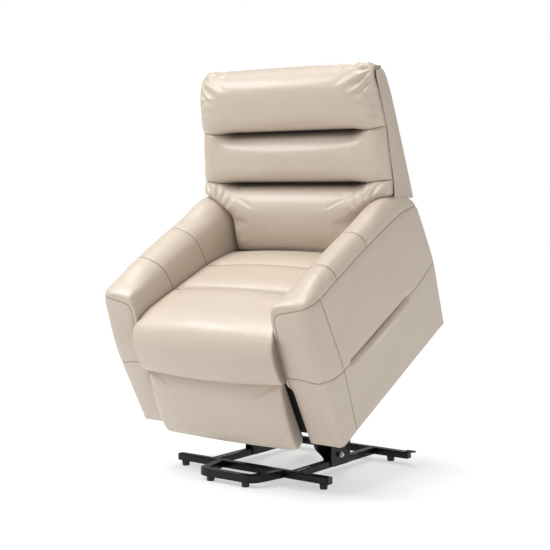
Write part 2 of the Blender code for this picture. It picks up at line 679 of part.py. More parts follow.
def build_arm_frame(side, sign):
    """A wooden frame, open to the outside, with a board on its inner face."""
    outline = [(0.0313, 0.006), (0.700, 0.006), (0.728, 0.226), (0.716, 0.430), (0.0313, 0.430)]
    window = [(0.075, 0.050), (0.655, 0.050), (0.676, 0.226), (0.668, 0.386), (0.075, 0.386)]
    frame = side_plate(f"arm_frame_{side}", outline, *mirrored(sign, 0.300, PANEL_NEAR - FIT_GAP),
                       WOOD, carriage, (window,))
    board = [(0.0313, 0.206), (0.660, 0.206), (0.660, 0.430), (0.0313, 0.430)]
    board_piece = side_plate("inner_board", board, *mirrored(sign, ARM_INNER_X, 0.3005), WOOD, carriage)
    backing = [(0.060, 0.030), (0.670, 0.030), (0.690, 0.226), (0.680, 0.400), (0.060, 0.400)]
    backing_piece = side_plate("backing_board", backing, *mirrored(sign, 0.2995, 0.306), WOOD, carriage)
    weld(frame, board_piece, backing_piece)


def build_side_panels(side, sign):
    """The outer covering in two pieces; they part along the seam to make the pocket's mouth."""
    reach = mirrored(sign, PANEL_NEAR, CHAIR_HALF_WIDTH)
    drop = POCKET_GAP
    lower = [(0.0310, 0.0), (0.707, 0.0), SEAM_REAR,
             (SEAM_POCKET_END[0] + 0.006, SEAM_POCKET_END[1]),
             (SEAM_POCKET_END[0], SEAM_POCKET_END[1] - drop),
             (SEAM_POCKET_START[0], SEAM_POCKET_START[1] - drop),
             (SEAM_POCKET_START[0] - 0.006, SEAM_POCKET_START[1]), SEAM_FRONT]
    side_plate(f"arm_lower_panel_{side}", lower, *reach, LEATHER, carriage, edge=0.002)
    lift = 0.0005
    upper = [(SEAM_FRONT[0], SEAM_FRONT[1] + lift),
             (SEAM_POCKET_START[0] - 0.006, SEAM_POCKET_START[1] + lift),
             (SEAM_POCKET_END[0] + 0.006, SEAM_POCKET_END[1] + lift),
             (SEAM_REAR[0], SEAM_REAR[1] + lift), (0.727, 0.443), (0.614, 0.462),
             (0.391, 0.466), (0.115, 0.462), (0.0503, 0.466), (0.0503, 0.4300), (0.0310, 0.4300)]
    side_plate(f"arm_upper_panel_{side}", upper, *reach, LEATHER, carriage, edge=0.002)


def build_arm_front(side, sign):
    outline = [(0.002, 0.0), (0.0307, 0.0), (0.0307, 0.4345), (0.0500, 0.4345), (0.0500, 0.472),
               (0.034, 0.473), (0.018, 0.380), (0.0, 0.250), (0.0, 0.010)]
    reach = mirrored(sign, 0.290, CHAIR_HALF_WIDTH)
    side_plate(f"arm_front_panel_{side}", outline, *reach, LEATHER, carriage, edge=0.003)


def build_arm_top(side, sign):
    """The padded roll along the top of the arm."""
    roll = [(0.268, 0.4303), (0.3850, 0.4303), (0.3850, 0.4703), (CHAIR_HALF_WIDTH, 0.4703),
            (0.407, 0.488), (0.392, 0.503), (0.362, 0.512), (0.325, 0.511), (0.290, 0.500),
            (0.270, 0.478)]
    outline = [(sign * x, z) for x, z in roll]
    front_plate(f"arm_top_pad_{side}", outline, 0.0503, 0.668, LEATHER, carriage, edge=0.003)


# ---------------------------------------------------------------- footrest
def build_foot_links():
    half_width = 0.0105
    eye = 0.0053
    for side, sign in SIDES:
        outline = link_outline(FOOT_LINK_A, half_width)
        bores = (arc((0.0, 0.0), eye, 0.0, 330.0, 11), arc((FOOT_LINK_A, 0.0), eye, 0.0, 330.0, 11))
        side_plate(f"foot_link_a_{side}", outline, *mirrored(sign, PLATE_FAR + FIT_GAP, LINK_A_FAR),
                   BLACK_STEEL, foot_link_a, bores)
        outline = link_outline(FOOT_LINK_B, half_width)
        bores = (arc((FOOT_LINK_B, 0.0), eye, 0.0, 330.0, 11),)
        strap = side_plate(f"foot_link_b_{side}", outline,
                           *mirrored(sign, LINK_A_FAR + FIT_GAP, LINK_B_FAR),
                           BLACK_STEEL, foot_link_b, bores)
        stud_x = mirrored(sign, PLATE_FAR + FIT_GAP, LINK_A_FAR + 0.002)
        weld(strap, cross_pin("elbow_stud", *stud_x, 0.005, (0.0, 0.0), ZINC, foot_link_b))


def from_pivot(points, pivot):
    """Carriage points (y, z) measured from a joint's axis."""
    return [(y - pivot[0], z - pivot[1]) for y, z in points]


def build_footrest():
    half = FOOTREST_HALF_WIDTH
    pivot_y, pivot_z = FOOTREST_PIVOT
    board_y = (-0.0115, 0.0035)
    box("footrest_board", (-half + 0.006, board_y[0] - pivot_y, 0.008 - pivot_z),
        (half - 0.006, board_y[1] - pivot_y, 0.220 - pivot_z), WOOD, footrest)
    pad = rounded([(board_y[0] - FIT_GAP, 0.0), (board_y[0] - FIT_GAP, 0.228), (-0.030, 0.228),
                   (-0.048, 0.190), (-0.052, 0.060), (-0.046, 0.0)], 0.014, 2)
    side_plate("footrest_pad", from_pivot(pad, FOOTREST_PIVOT), -half, half, LEATHER, footrest, edge=0.008)
    lug = [(board_y[1] + FIT_GAP, 0.150), (0.012, 0.150)]
    lug += arc(FOOTREST_PIVOT, 0.0100, -60.0, 60.0, 6)
    lug += [(0.012, 0.215), (board_y[1] + FIT_GAP, 0.215)]
    for side, sign in SIDES:
        bracket = side_plate(f"footrest_bracket_{side}", from_pivot(lug, FOOTREST_PIVOT),
                             *mirrored(sign, LINK_B_FAR + FIT_GAP, BRACKET_FAR), BLACK_STEEL, footrest)
        stud_x = mirrored(sign, LINK_A_FAR + FIT_GAP, BRACKET_FAR - 0.001)
        weld(bracket, cross_pin("footrest_stud", *stud_x, 0.005, (0.0, 0.0), ZINC, footrest))


# ---------------------------------------------------------------- backrest
def build_back_frame():
    """A leaning wooden frame between the cushions and the rear cover."""
    post = PLATE_FAR - FIT_GAP
    outer = rounded([(-post, -0.005), (post, -0.005), (post, 0.175), (0.355, 0.225),
                     (0.355, 0.500), (-0.355, 0.500), (-0.355, 0.225), (-post, 0.175)], 0.012, 2)
    inner = rounded([(-0.160, 0.040), (0.160, 0.040), (0.160, 0.440), (-0.160, 0.440)], 0.010, 2)
    front_plate("back_frame", outer, 0.0400, 0.0620, WOOD, backrest, (inner,), lean=FRAME_LEAN)


def build_back_straps():
    """Steel straps from the recline pivots up the frame's posts."""
    outline = arc((0.0, 0.0), 0.016, 100.0, 330.0, 8)
    outline += [(0.062, 0.020), (0.102, 0.150), (0.084, 0.150)]
    bore = arc((0.0, 0.0), 0.0063, 0.0, 330.0, 11)
    for side, sign in SIDES:
        side_plate(f"back_strap_{side}", outline, *mirrored(sign, PLATE_FAR + FIT_GAP, LINK_A_FAR),
                   BLACK_STEEL, backrest, (bore,))


def build_recline_lever():
    x = RECLINE_ACTUATOR_X
    lever = turned((BACK_LEVER_RADIUS, 0.0), BACK_LEVER_ANGLE)
    outline = arc(lever, 0.011, 180.0, 360.0, 8) + [(0.0600, -0.0086), (0.0385, -0.0025)]
    plate = side_plate("recline_lever", outline, x - 0.003, x + 0.003, BLACK_STEEL, backrest)
    pin = cross_pin("recline_lever_pin", x - 0.0110, x + 0.0110, 0.0045, lever, ZINC, backrest)
    weld(plate, pin)


def build_back_cushions():
    """Three stacked pillows; each side view outline is in the carriage frame."""
    lumbar = [(0.548, 0.352), (0.588, 0.352), (0.618, 0.400), (0.664, 0.530), (0.664, 0.5535),
              (0.620, 0.530), (0.560, 0.440)]
    shoulder = [(0.640, 0.524), (0.668, 0.524), (0.676, 0.552), (0.664, 0.5535)]
    middle = [(0.668, 0.5575), (0.680, 0.5575), (0.725, 0.714), (0.712, 0.716),
              (0.668, 0.680), (0.648, 0.600)]
    head = [(0.727, 0.7195), (0.738, 0.7195), (0.795, 0.905), (0.770, 0.915),
            (0.735, 0.890), (0.706, 0.800), (0.706, 0.750)]
    cushion = side_plate("lumbar_cushion", from_pivot(lumbar, BACK_PIVOT), -0.264, 0.264,
                         LEATHER, backrest, edge=0.004)
    shoulder_piece = side_plate("lumbar_shoulder", from_pivot(shoulder, BACK_PIVOT), -0.388, 0.388,
                                LEATHER, backrest)
    weld(cushion, shoulder_piece)
    side_plate("middle_cushion", from_pivot(middle, BACK_PIVOT), -0.383, 0.383,
               LEATHER, backrest, edge=0.004)
    side_plate("head_cushion", from_pivot(head, BACK_PIVOT), -0.374, 0.374,
               LEATHER, backrest, edge=0.004)


def build_back_cover():
    """Side panels and a rear panel over the frame, open to the front."""
    side = [(0.6750, 0.524), (0.7720, 0.868), (0.828, 0.862), (0.808, 0.710),
            (0.762, 0.466), (0.756, 0.462)]
    rear = [(0.744, 0.462), (0.756, 0.462), (0.808, 0.710), (0.828, 0.862),
            (0.816, 0.864), (0.796, 0.712)]
    top = [(0.800, 0.852), (0.828, 0.860), (0.822, 0.885), (0.801, 0.890)]
    cover = side_plate("back_cover", from_pivot(rear, BACK_PIVOT), -0.380, 0.380, LEATHER, backrest)
    for _, sign in SIDES:
        panel = side_plate("cover_side", from_pivot(side, BACK_PIVOT), *mirrored(sign, 0.3745, 0.389),
                           LEATHER, backrest)
        weld(cover, panel)
    cap = side_plate("cover_top", from_pivot(top, BACK_PIVOT), -0.384, 0.384, LEATHER, backrest)
    weld(cover, cap)


# ---------------------------------------------------------------- assembly
build_crossbars()
build_side_rails()
build_bumper_loop()
build_feet()
build_brackets()
build_lift_arm()
build_upper_links()
build_lift_actuator()
build_lift_rod()
build_carriage_plates()
build_seat_frame()
build_seat_cushion()
build_rear_skirt()
build_recline_actuator()
build_arms()
build_foot_links()
build_footrest()
build_back_frame()
build_back_straps()
build_recline_lever()
build_back_cushions()
build_back_cover()
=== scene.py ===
"""Looks of the lift recliner chair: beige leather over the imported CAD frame.

The soft pieces are drawn in the carriage frame of part.py: Y runs to the rear and Z up
from the bottom front corner of the arms, and X runs across.  The frame tilts forward
with the raised chair, so each piece is turned into the world when it is finished.
Lengths are in metres.
"""
import json
import math

import bmesh
import bpy
import numpy as np
from mathutils import Matrix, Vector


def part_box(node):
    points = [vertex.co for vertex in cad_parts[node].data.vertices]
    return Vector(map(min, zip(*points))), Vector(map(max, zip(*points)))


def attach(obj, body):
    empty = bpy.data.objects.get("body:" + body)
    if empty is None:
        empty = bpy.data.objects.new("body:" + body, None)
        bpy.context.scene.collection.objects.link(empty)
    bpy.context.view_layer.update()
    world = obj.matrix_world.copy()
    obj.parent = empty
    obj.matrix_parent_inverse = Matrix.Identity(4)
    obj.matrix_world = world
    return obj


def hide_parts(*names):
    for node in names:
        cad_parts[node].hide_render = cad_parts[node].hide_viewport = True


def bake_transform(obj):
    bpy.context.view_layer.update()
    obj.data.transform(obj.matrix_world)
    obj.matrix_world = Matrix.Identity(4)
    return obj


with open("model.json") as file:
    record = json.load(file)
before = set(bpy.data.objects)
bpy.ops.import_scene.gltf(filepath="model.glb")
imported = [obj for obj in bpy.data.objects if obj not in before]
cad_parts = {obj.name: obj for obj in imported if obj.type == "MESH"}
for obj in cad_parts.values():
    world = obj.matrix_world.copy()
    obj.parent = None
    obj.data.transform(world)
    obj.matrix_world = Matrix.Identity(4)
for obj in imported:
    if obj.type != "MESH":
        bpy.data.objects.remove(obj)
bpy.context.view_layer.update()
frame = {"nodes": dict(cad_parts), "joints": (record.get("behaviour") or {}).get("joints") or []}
SIDES = (("left", 1.0), ("right", -1.0))

# Carriage-frame places (y, z) of two joints; the record gives the same two in the world.
FOOT_PIVOT = (0.036, 0.224)
BACK_PIVOT = (0.600, 0.330)

ARM_OUTER_X = 0.410
ARM_MIDDLE_X = 0.345
ARM_INNER_X = 0.2728
ARM_LENGTH = 0.741
ARM_NOSE = 0.022                # depth of the rounding at the front face
ARM_TAIL = 0.012                # depth of the rounding at the rear end
PANEL_CORNER = 0.022            # radius of the seam round the front panel's inner top corner
ARM_TOP_SEAM = ((0.000, 0.476), (0.033, 0.476), (0.115, 0.463), (0.213, 0.466), (0.391, 0.470),
                (0.614, 0.466), (0.727, 0.443))
SIDE_SEAM = ((0.000, 0.244), (0.026, 0.228), (0.085, 0.211), (0.161, 0.2065), (0.548, 0.2065),
             (0.650, 0.213), (0.745, 0.227))
POCKET = (0.161, 0.548)         # front and rear end of the pocket slit in the side seam
ROLL_SEAMS = (0.219, 0.407)
SEAT_HALF_WIDTH = 0.2715
SEAT_NOSE_HALF_WIDTH = 0.2840   # in front of the arms' inner faces
SEAT_SEAMS = (0.395, 0.221)
SEAT_COLUMNS = 104
FOOTREST_HALF_WIDTH = 0.270
FOOTREST_COLUMNS = 92
FOOTREST_HIGH = 0.2345
BACK_WELT_LOW = (0.667, 0.557)
BACK_WELT_HIGH = (0.728, 0.719)
PILLOW_COLUMNS = 124
PILLOW_EDGE = 0.55              # height of a pillow at its seams, where the crease has faded out
FLAP_HALF_WIDTH = 0.2690
SKIRT_HALF_WIDTH = 0.2985
SKIRT_LOW, SKIRT_HIGH = 0.004, 0.285
BRACKET_BOLT = (0.115, 0.055)   # world y and z
FAR = 1.0                       # a seam distance that draws no seam
CLOTH_FRAMES = 18
PILLOW_REACH = 0.010            # how far the cloth may move a pillow's points

STITCH_LENGTH = 0.0021
STITCH_OFFSET = 0.0042          # from the seam to its row of stitches

CAMERA_PLACE = (2.4773, -3.2953, 0.9322)
CAMERA_DOWN = math.radians(3.837)
CAMERA_TURN = math.radians(36.96)
CAMERA_LENS = 81.2
FLOOR_REACH = 14.0


# ---------------------------------------------------------------- carriage frame
def joint_place(name):
    """World (y, z) of a joint of the record."""
    joint = next(item for item in frame["joints"] if item["name"] == name)
    return joint["pos_m"][1:]


def carriage_matrix():
    """From the carriage frame to the world, from two joints known in both."""
    foot, back = joint_place("footrest_extend"), joint_place("recline")
    tilt = math.atan2(back[1] - foot[1], back[0] - foot[0])
    tilt -= math.atan2(BACK_PIVOT[1] - FOOT_PIVOT[1], BACK_PIVOT[0] - FOOT_PIVOT[0])
    turn = Matrix.Rotation(tilt, 4, "X")
    here = turn @ Matrix.Translation((0.0, *FOOT_PIVOT))
    place = Matrix.Translation((0.0, *foot)) @ Matrix.Translation(-here.translation)
    return place @ turn


CARRIAGE = carriage_matrix()


# ---------------------------------------------------------------- curves and grids
def spline(points, count, closed=False):
    """count points spaced evenly along a smooth curve through the given points."""
    p = np.array(points, float)
    if closed:
        p = np.vstack([p[-1], p, p[0], p[1]])
    else:
        p = np.vstack([2 * p[0] - p[1], p, 2 * p[-1] - p[-2]])
    t = np.linspace(0.0, 1.0, 24, endpoint=False)[:, None]
    a, b, c, d = (p[k:len(p) - 3 + k, None] for k in range(4))
    fine = 0.5 * (2 * b + (c - a) * t + (2 * a - 5 * b + 4 * c - d) * t ** 2
                  + (3 * b - a - 3 * c + d) * t ** 3)
    fine = fine.reshape(-1, p.shape[1])
    fine = np.vstack([fine, fine[0] if closed else p[-2]])
    run = np.concatenate([[0.0], np.cumsum(np.linalg.norm(np.diff(fine, axis=0), axis=1))])
    want = np.linspace(0.0, run[-1], count, endpoint=not closed)
    return np.column_stack([np.interp(want, run, fine[:, axis]) for axis in range(fine.shape[1])])


def along(points, where):
    """Height of a smooth curve (u, value) at each u."""
    fine = spline(points, 200)
    return np.interp(where, fine[:, 0], fine[:, 1])


def step(low, high, value):
    """0 below low and 1 above high, smooth between."""
    t = np.clip((value - low) / (high - low), 0.0, 1.0)
    return t * t * (3.0 - 2.0 * t)


def bump(distance, width):
    """1 at a line, fading to 0 on both sides of it."""
    return np.exp(-(distance / width) ** 2)


def path_normals(path):
    """Unit normals of a (y, z) path, to the left of its direction."""
    tangent = np.gradient(path, axis=0)
    tangent /= np.linalg.norm(tangent, axis=1)[:, None]
    return np.column_stack([-tangent[:, 1], tangent[:, 0]])


def spread(count, ends=0.5):
    """-1 to 1, closer together towards the ends."""
    t = np.linspace(-1.0, 1.0, count)
    return (1.0 - ends) * t + ends * np.sin(t * math.pi / 2.0)


def mesh_object(name, points, faces):
    """A smooth object from points and faces, with its normals outward."""
    mesh = bpy.data.meshes.new(name)
    mesh.from_pydata(points.reshape(-1, 3).tolist(), [], faces)
    mesh.update()
    shape = bmesh.new()
    shape.from_mesh(mesh)
    bmesh.ops.recalc_face_normals(shape, faces=shape.faces)
    shape.to_mesh(mesh)
    shape.free()
    mesh.shade_smooth()
    piece = bpy.data.objects.new(name, mesh)
    bpy.context.scene.collection.objects.link(piece)
    return piece


def closed_pad(name, front, rear):
    """A closed skin from a front and a rear grid of the same shape; the rear one is lined."""
    rows, columns = front.shape[:2]
    index = np.arange(rows * columns).reshape(rows, columns)
    back = index + rows * columns
    faces = []
    for i in range(rows - 1):
        for j in range(columns - 1):
            faces.append((index[i, j], index[i + 1, j], index[i + 1, j + 1], index[i, j + 1]))
            faces.append((back[i, j], back[i, j + 1], back[i + 1, j + 1], back[i + 1, j]))
    rim = [(i, 0) for i in range(rows)] + [(rows - 1, j) for j in range(1, columns)]
    rim += [(i, columns - 1) for i in range(rows - 2, -1, -1)]
    rim += [(0, j) for j in range(columns - 2, 0, -1)]
    for here, after in zip(rim, rim[1:] + rim[:1]):
        faces.append((index[here], back[here], back[after], index[after]))
    faces = [tuple(int(corner) for corner in face) for face in faces]
    pad = mesh_object(name, np.concatenate([front.reshape(-1, 3), rear.reshape(-1, 3)]), faces)
    for face in pad.data.polygons:
        face.material_index = int(min(face.vertices) >= rows * columns)
    return pad


def skin(name, rings, lined_end=False):
    """A closed skin over rings of points, capped at both ends; lined_end lines the first cap."""
    count, around = rings.shape[:2]
    faces = []
    for i in range(count - 1):
        for j in range(around):
            k = (j + 1) % around
            faces.append((i * around + j, i * around + k, (i + 1) * around + k, (i + 1) * around + j))
    for base in (0, (count - 1) * around):
        for j in range(around // 2 - 1):
            faces.append((base + j, base + j + 1, base + around - 2 - j, base + around - 1 - j))
    piece = mesh_object(name, rings, faces)
    if lined_end:
        sides = (count - 1) * around
        for face in piece.data.polygons[sides:sides + around // 2 - 1]:
            face.material_index = 1
    return piece


def points_of(piece):
    flat = np.zeros(len(piece.data.vertices) * 3)
    piece.data.vertices.foreach_get("co", flat)
    return flat.reshape(-1, 3)


def normals_of(piece):
    flat = np.zeros(len(piece.data.vertices) * 3)
    piece.data.vertices.foreach_get("normal", flat)
    return flat.reshape(-1, 3)


def set_points(piece, points):
    piece.data.vertices.foreach_set("co", points.reshape(-1))
    piece.data.update()


# ---------------------------------------------------------------- padding
def inflate(piece, pinned, pressure, cap):
    """Blows the skin up as cloth, held at the pinned points, then keeps each point within cap.
    """
    group = piece.vertex_groups.new(name="pinned")
    group.add([int(k) for k in np.flatnonzero(pinned)], 1.0, "REPLACE")
    start = points_of(piece)
    cloth = piece.modifiers.new("padding", "CLOTH")
    settings = cloth.settings
    settings.quality = 5
    settings.mass = 0.35
    settings.tension_stiffness = 20.0
    settings.compression_stiffness = 20.0
    settings.shear_stiffness = 8.0
    settings.bending_stiffness = 1.5
    settings.vertex_group_mass = "pinned"
    settings.use_pressure = True
    settings.uniform_pressure_force = pressure
    settings.effector_weights.gravity = 0.0
    cloth.collision_settings.use_collision = False
    cloth.point_cache.frame_start = 1
    cloth.point_cache.frame_end = CLOTH_FRAMES
    for number in range(1, CLOTH_FRAMES + 1):
        bpy.context.scene.frame_set(number)
    shaped = piece.evaluated_get(bpy.context.evaluated_depsgraph_get())
    flat = np.zeros(len(start) * 3)
    shaped.data.vertices.foreach_get("co", flat)
    moved = flat.reshape(-1, 3) - start
    reach = np.linalg.norm(moved, axis=1)[:, None]
    moved *= cap * np.tanh(reach / cap) / np.maximum(reach, 1e-9)
    piece.modifiers.remove(cloth)
    piece.vertex_groups.remove(group)
    set_points(piece, start + moved)
    bpy.context.scene.frame_set(1)


def subdivide(piece):
    """Replaces the mesh with one level of its subdivision."""
    piece.modifiers.new("smooth", "SUBSURF").levels = 1
    shaped = piece.evaluated_get(bpy.context.evaluated_depsgraph_get())
    mesh = bpy.data.meshes.new_from_object(shaped)
    piece.modifiers.clear()
    piece.data = mesh
    piece.data.name = piece.name


def nearest(*distances):
    """The smallest of some signed distances; its sign changes only on a seam."""
    stack = np.array(np.broadcast_arrays(*distances))
    return np.abs(stack).min(axis=0) * np.where(stack < 0.0, -1.0, 1.0).prod(axis=0)


def only_where(mask, distance):
    """The distance inside the mask, and far away with the same sign outside it."""
    return np.where(mask, distance, np.copysign(FAR, distance))


def draw_seams(piece, *distances):
    """Stores up to three signed distances from seam lines, which the leather reads."""
    count = len(piece.data.vertices)
    values = np.full((count, 3), FAR)
    for channel, distance in enumerate(distances):
        values[:, channel] = distance
    attribute = piece.data.attributes.new("seams", "FLOAT_VECTOR", "POINT")
    attribute.data.foreach_set("vector", values.reshape(-1).astype(np.float32))


def paint_crease_shade(piece, amount):
    """Stores painted shade for each point of both grids, from 0 to 1: dark in creases and gaps, where shade
    falls.
    """
    attribute = piece.data.attributes.new("crease_shade", "FLOAT", "POINT")
    both = np.tile(np.clip(amount, 0.0, 1.0).reshape(-1), 2)
    attribute.data.foreach_set("value", both.astype(np.float32))


def upholster(piece, body, *nodes, fill):
    """Turns a finished piece into the world, covers it and hangs it on its body."""
    piece.data.transform(CARRIAGE)
    piece.data.materials.append(LEATHER)
    piece.data.materials.append(LINING)
    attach(piece, body)
    if nodes:
        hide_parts(*nodes)


def cover_plainly(piece, material):
    """Turns a finished piece into the world and gives all its faces one material."""
    piece.data.transform(CARRIAGE)
    piece.data.materials.append(material)
    piece.data.polygons.foreach_set("material_index", [0] * len(piece.data.polygons))


# ---------------------------------------------------------------- materials
class Nodes:
    """Short names for building one material's node tree."""

    def __init__(self, name):
        self.material = bpy.data.materials.new(name)
        self.material.use_nodes = True
        self.tree = self.material.node_tree
        self.shader = self.tree.nodes["Principled BSDF"]
        self.place = self.add("ShaderNodeTexCoord").outputs["Object"]

    def add(self, kind, **values):
        node = self.tree.nodes.new(kind)
        for key, value in values.items():
            if hasattr(node, key):
                setattr(node, key, value)
            else:
                node.inputs[key].default_value = value
        return node

    def link(self, source, target):
        self.tree.links.new(source, target)

    def noise(self, scale, detail=3.0, roughness=0.5, distortion=0.0, place=None):
        node = self.add("ShaderNodeTexNoise", Scale=scale, Detail=detail, Roughness=roughness,
                        Distortion=distortion)
        self.link(place or self.place, node.inputs["Vector"])
        return node.outputs["Fac"]

    def cells(self, scale):
        node = self.add("ShaderNodeTexVoronoi", feature="DISTANCE_TO_EDGE", Scale=scale)
        self.link(self.place, node.inputs["Vector"])
        return node.outputs["Distance"]

    def math(self, operation, first, second=None):
        node = self.add("ShaderNodeMath", operation=operation)
        for socket, value in zip(node.inputs, (first, second)):
            if value is None:
                continue
            if isinstance(value, (int, float)):
                socket.default_value = value
            else:
                self.link(value, socket)
        return node.outputs[0]

    def ramp(self, value, low, high, out_low, out_high):
        node = self.add("ShaderNodeMapRange", interpolation_type="SMOOTHSTEP")
        self.link(value, node.inputs["Value"])
        limits = {"From Min": low, "From Max": high, "To Min": out_low, "To Max": out_high}
        for key, number in limits.items():
            node.inputs[key].default_value = number
        return node.outputs["Result"]

    def mix(self, factor, first, second):
        node = self.add("ShaderNodeMix", data_type="RGBA")
        sockets = [s for s in node.inputs if s.enabled]
        for socket, value in zip(sockets, (factor, first, second)):
            if isinstance(value, (int, float)):
                socket.default_value = value
            elif isinstance(value, tuple):
                socket.default_value = (*value, 1.0)
            else:
                self.link(value, socket)
        return next(s for s in node.outputs if s.enabled)

    def relief(self, height, distance, strength=1.0, under=None):
        node = self.add("ShaderNodeBump", Strength=strength, Distance=distance)
        self.link(height, node.inputs["Height"])
        if under is not None:
            self.link(under, node.inputs["Normal"])
        return node.outputs["Normal"]

    def finish(self, colour=None, roughness=None, normal=None, **values):
        for key, value in (("Base Color", colour), ("Roughness", roughness), ("Normal", normal)):
            if value is None:
                continue
            if isinstance(value, (int, float)):
                self.shader.inputs[key].default_value = value
            elif isinstance(value, tuple):
                self.shader.inputs[key].default_value = (*value, 1.0)
            else:
                self.link(value, self.shader.inputs[key])
        for key, value in values.items():
            self.shader.inputs[key.replace("_", " ")].default_value = value
        return self.material


def leather(name):
    """Pebbled leather; it draws a stitched seam at each stored line and paints shade into the creases and
    gaps.
    """
    n = Nodes(name)
    pebbles = n.cells(780.0)
    pores = n.noise(1500.0, 2.0)
    wrinkles = n.noise(95.0, 5.0, 0.55, 0.9)
    drift = n.noise(5.0, 3.0)
    mottle = n.noise(60.0, 4.0, 0.6)
    tone = n.mix(drift, (0.515, 0.430, 0.348), (0.570, 0.482, 0.398))
    tone = n.mix(n.ramp(mottle, 0.35, 0.7, 0.0, 0.30), tone, (0.60, 0.517, 0.438))
    tone = n.mix(n.ramp(pebbles, 0.0, 0.10, 0.14, 0.0), tone, (0.36, 0.285, 0.215))
    rough = n.ramp(mottle, 0.3, 0.75, 0.30, 0.40)
    normal = n.relief(n.ramp(pebbles, 0.0, 0.16, 0.0, 1.0), 0.00022, 0.5)
    normal = n.relief(pores, 0.00008, 0.5, normal)
    normal = n.relief(wrinkles, 0.0016, 0.16, normal)
    seams = n.add("ShaderNodeAttribute", attribute_name="seams")
    split = n.add("ShaderNodeSeparateXYZ")
    n.link(seams.outputs["Vector"], split.inputs[0])
    size = [n.math("ABSOLUTE", split.outputs[k]) for k in range(3)]
    near = n.math("MINIMUM", n.math("MINIMUM", size[0], size[1]), size[2])
    place = n.add("ShaderNodeSeparateXYZ")
    n.link(n.place, place.inputs[0])
    run = n.math("ADD", n.math("ADD", place.outputs[0], place.outputs[1]), place.outputs[2])
    dash = n.math("PINGPONG", run, STITCH_LENGTH)
    dash = n.ramp(dash, 0.0004, 0.0008, 0.0, 1.0)
    beside = n.math("ABSOLUTE", n.math("SUBTRACT", near, STITCH_OFFSET))
    row = n.ramp(beside, 0.0003, 0.0006, 1.0, 0.0)
    stitch = n.math("MULTIPLY", dash, row)
    line = n.ramp(near, 0.0003, 0.0013, 1.0, 0.0)
    # A soft darker band beside each seam; where the arm's pocket spreads it wide, it is painted shade in the
    # slit.
    tone = n.mix(n.ramp(near, 0.0010, 0.0055, 0.30, 0.0), tone, (0.36, 0.27, 0.19))
    tone = n.mix(n.math("MULTIPLY", line, 0.88), tone, (0.085, 0.062, 0.045))
    tone = n.mix(n.math("MULTIPLY", stitch, 0.55), tone, (0.62, 0.53, 0.43))
    # Painted shade: the stored shade amount darkens the leather towards deep brown.
    crease_shade = n.add("ShaderNodeAttribute", attribute_name="crease_shade")
    tone = n.mix(n.math("MULTIPLY", crease_shade.outputs["Fac"], 0.90), tone, (0.075, 0.054, 0.038))
    normal = n.relief(n.ramp(near, 0.0, 0.0022, 0.0, 1.0), 0.0012, 0.9, normal)
    normal = n.relief(stitch, 0.0004, 0.8, normal)
    return n.finish(tone, rough, normal, Coat_Weight=0.27, Coat_Roughness=0.26, Sheen_Weight=0.06,
                    Sheen_Roughness=0.5)


def lining(name):
    """Thin black cloth with loose fibres."""
    n = Nodes(name)
    fibres = n.noise(700.0, 4.0, 0.7, 2.0)
    tone = n.mix(n.ramp(fibres, 0.35, 0.7, 0.0, 1.0), (0.010, 0.010, 0.011), (0.030, 0.029, 0.029))
    return n.finish(tone, 0.9, n.relief(fibres, 0.0003, 0.5))


LEATHER = leather("beige_leather_soft")
LINING = lining("black_lining_cloth")


# ---------------------------------------------------------------- pads
def pad_grids(path, half_width, height, across, rear_depth):
    """Front and rear grids of a pad that follows a (y, z) path, outward to its left."""
    rows = len(path)
    normal = path_normals(path)
    u = spread(across)[:, None]
    x = u * np.broadcast_to(half_width, (rows,))[None, :]
    grids = []
    for lift in (height, -rear_depth * np.ones_like(x)):
        y = path[None, :, 0] + normal[None, :, 0] * lift
        z = path[None, :, 1] + normal[None, :, 1] * lift
        grids.append(np.stack([x, y, z], axis=2))
    return grids


def rounded_edge(distance, radius):
    """1 away from an edge, falling to 0 at it like a quarter circle."""
    t = np.clip(distance / radius, 0.0, 1.0)
    return np.sqrt(1.0 - (1.0 - t) ** 2)


def run_of(path):
    """How far along the path each of its points lies."""
    return np.concatenate([[0.0], np.cumsum(np.linalg.norm(np.diff(path, axis=0), axis=1))])


def both_grids(values):
    """Front values, then far ones for the hidden rear grid."""
    return np.concatenate([values.reshape(-1), np.full(values.size, FAR)])


def rim_of(shape):
    """Mask of the front grid's border, two points wide, and of the whole rear grid."""
    front = np.ones(shape, bool)
    front[2:-2, 2:-2] = False
    return np.concatenate([front.reshape(-1), np.ones(front.size, bool)])


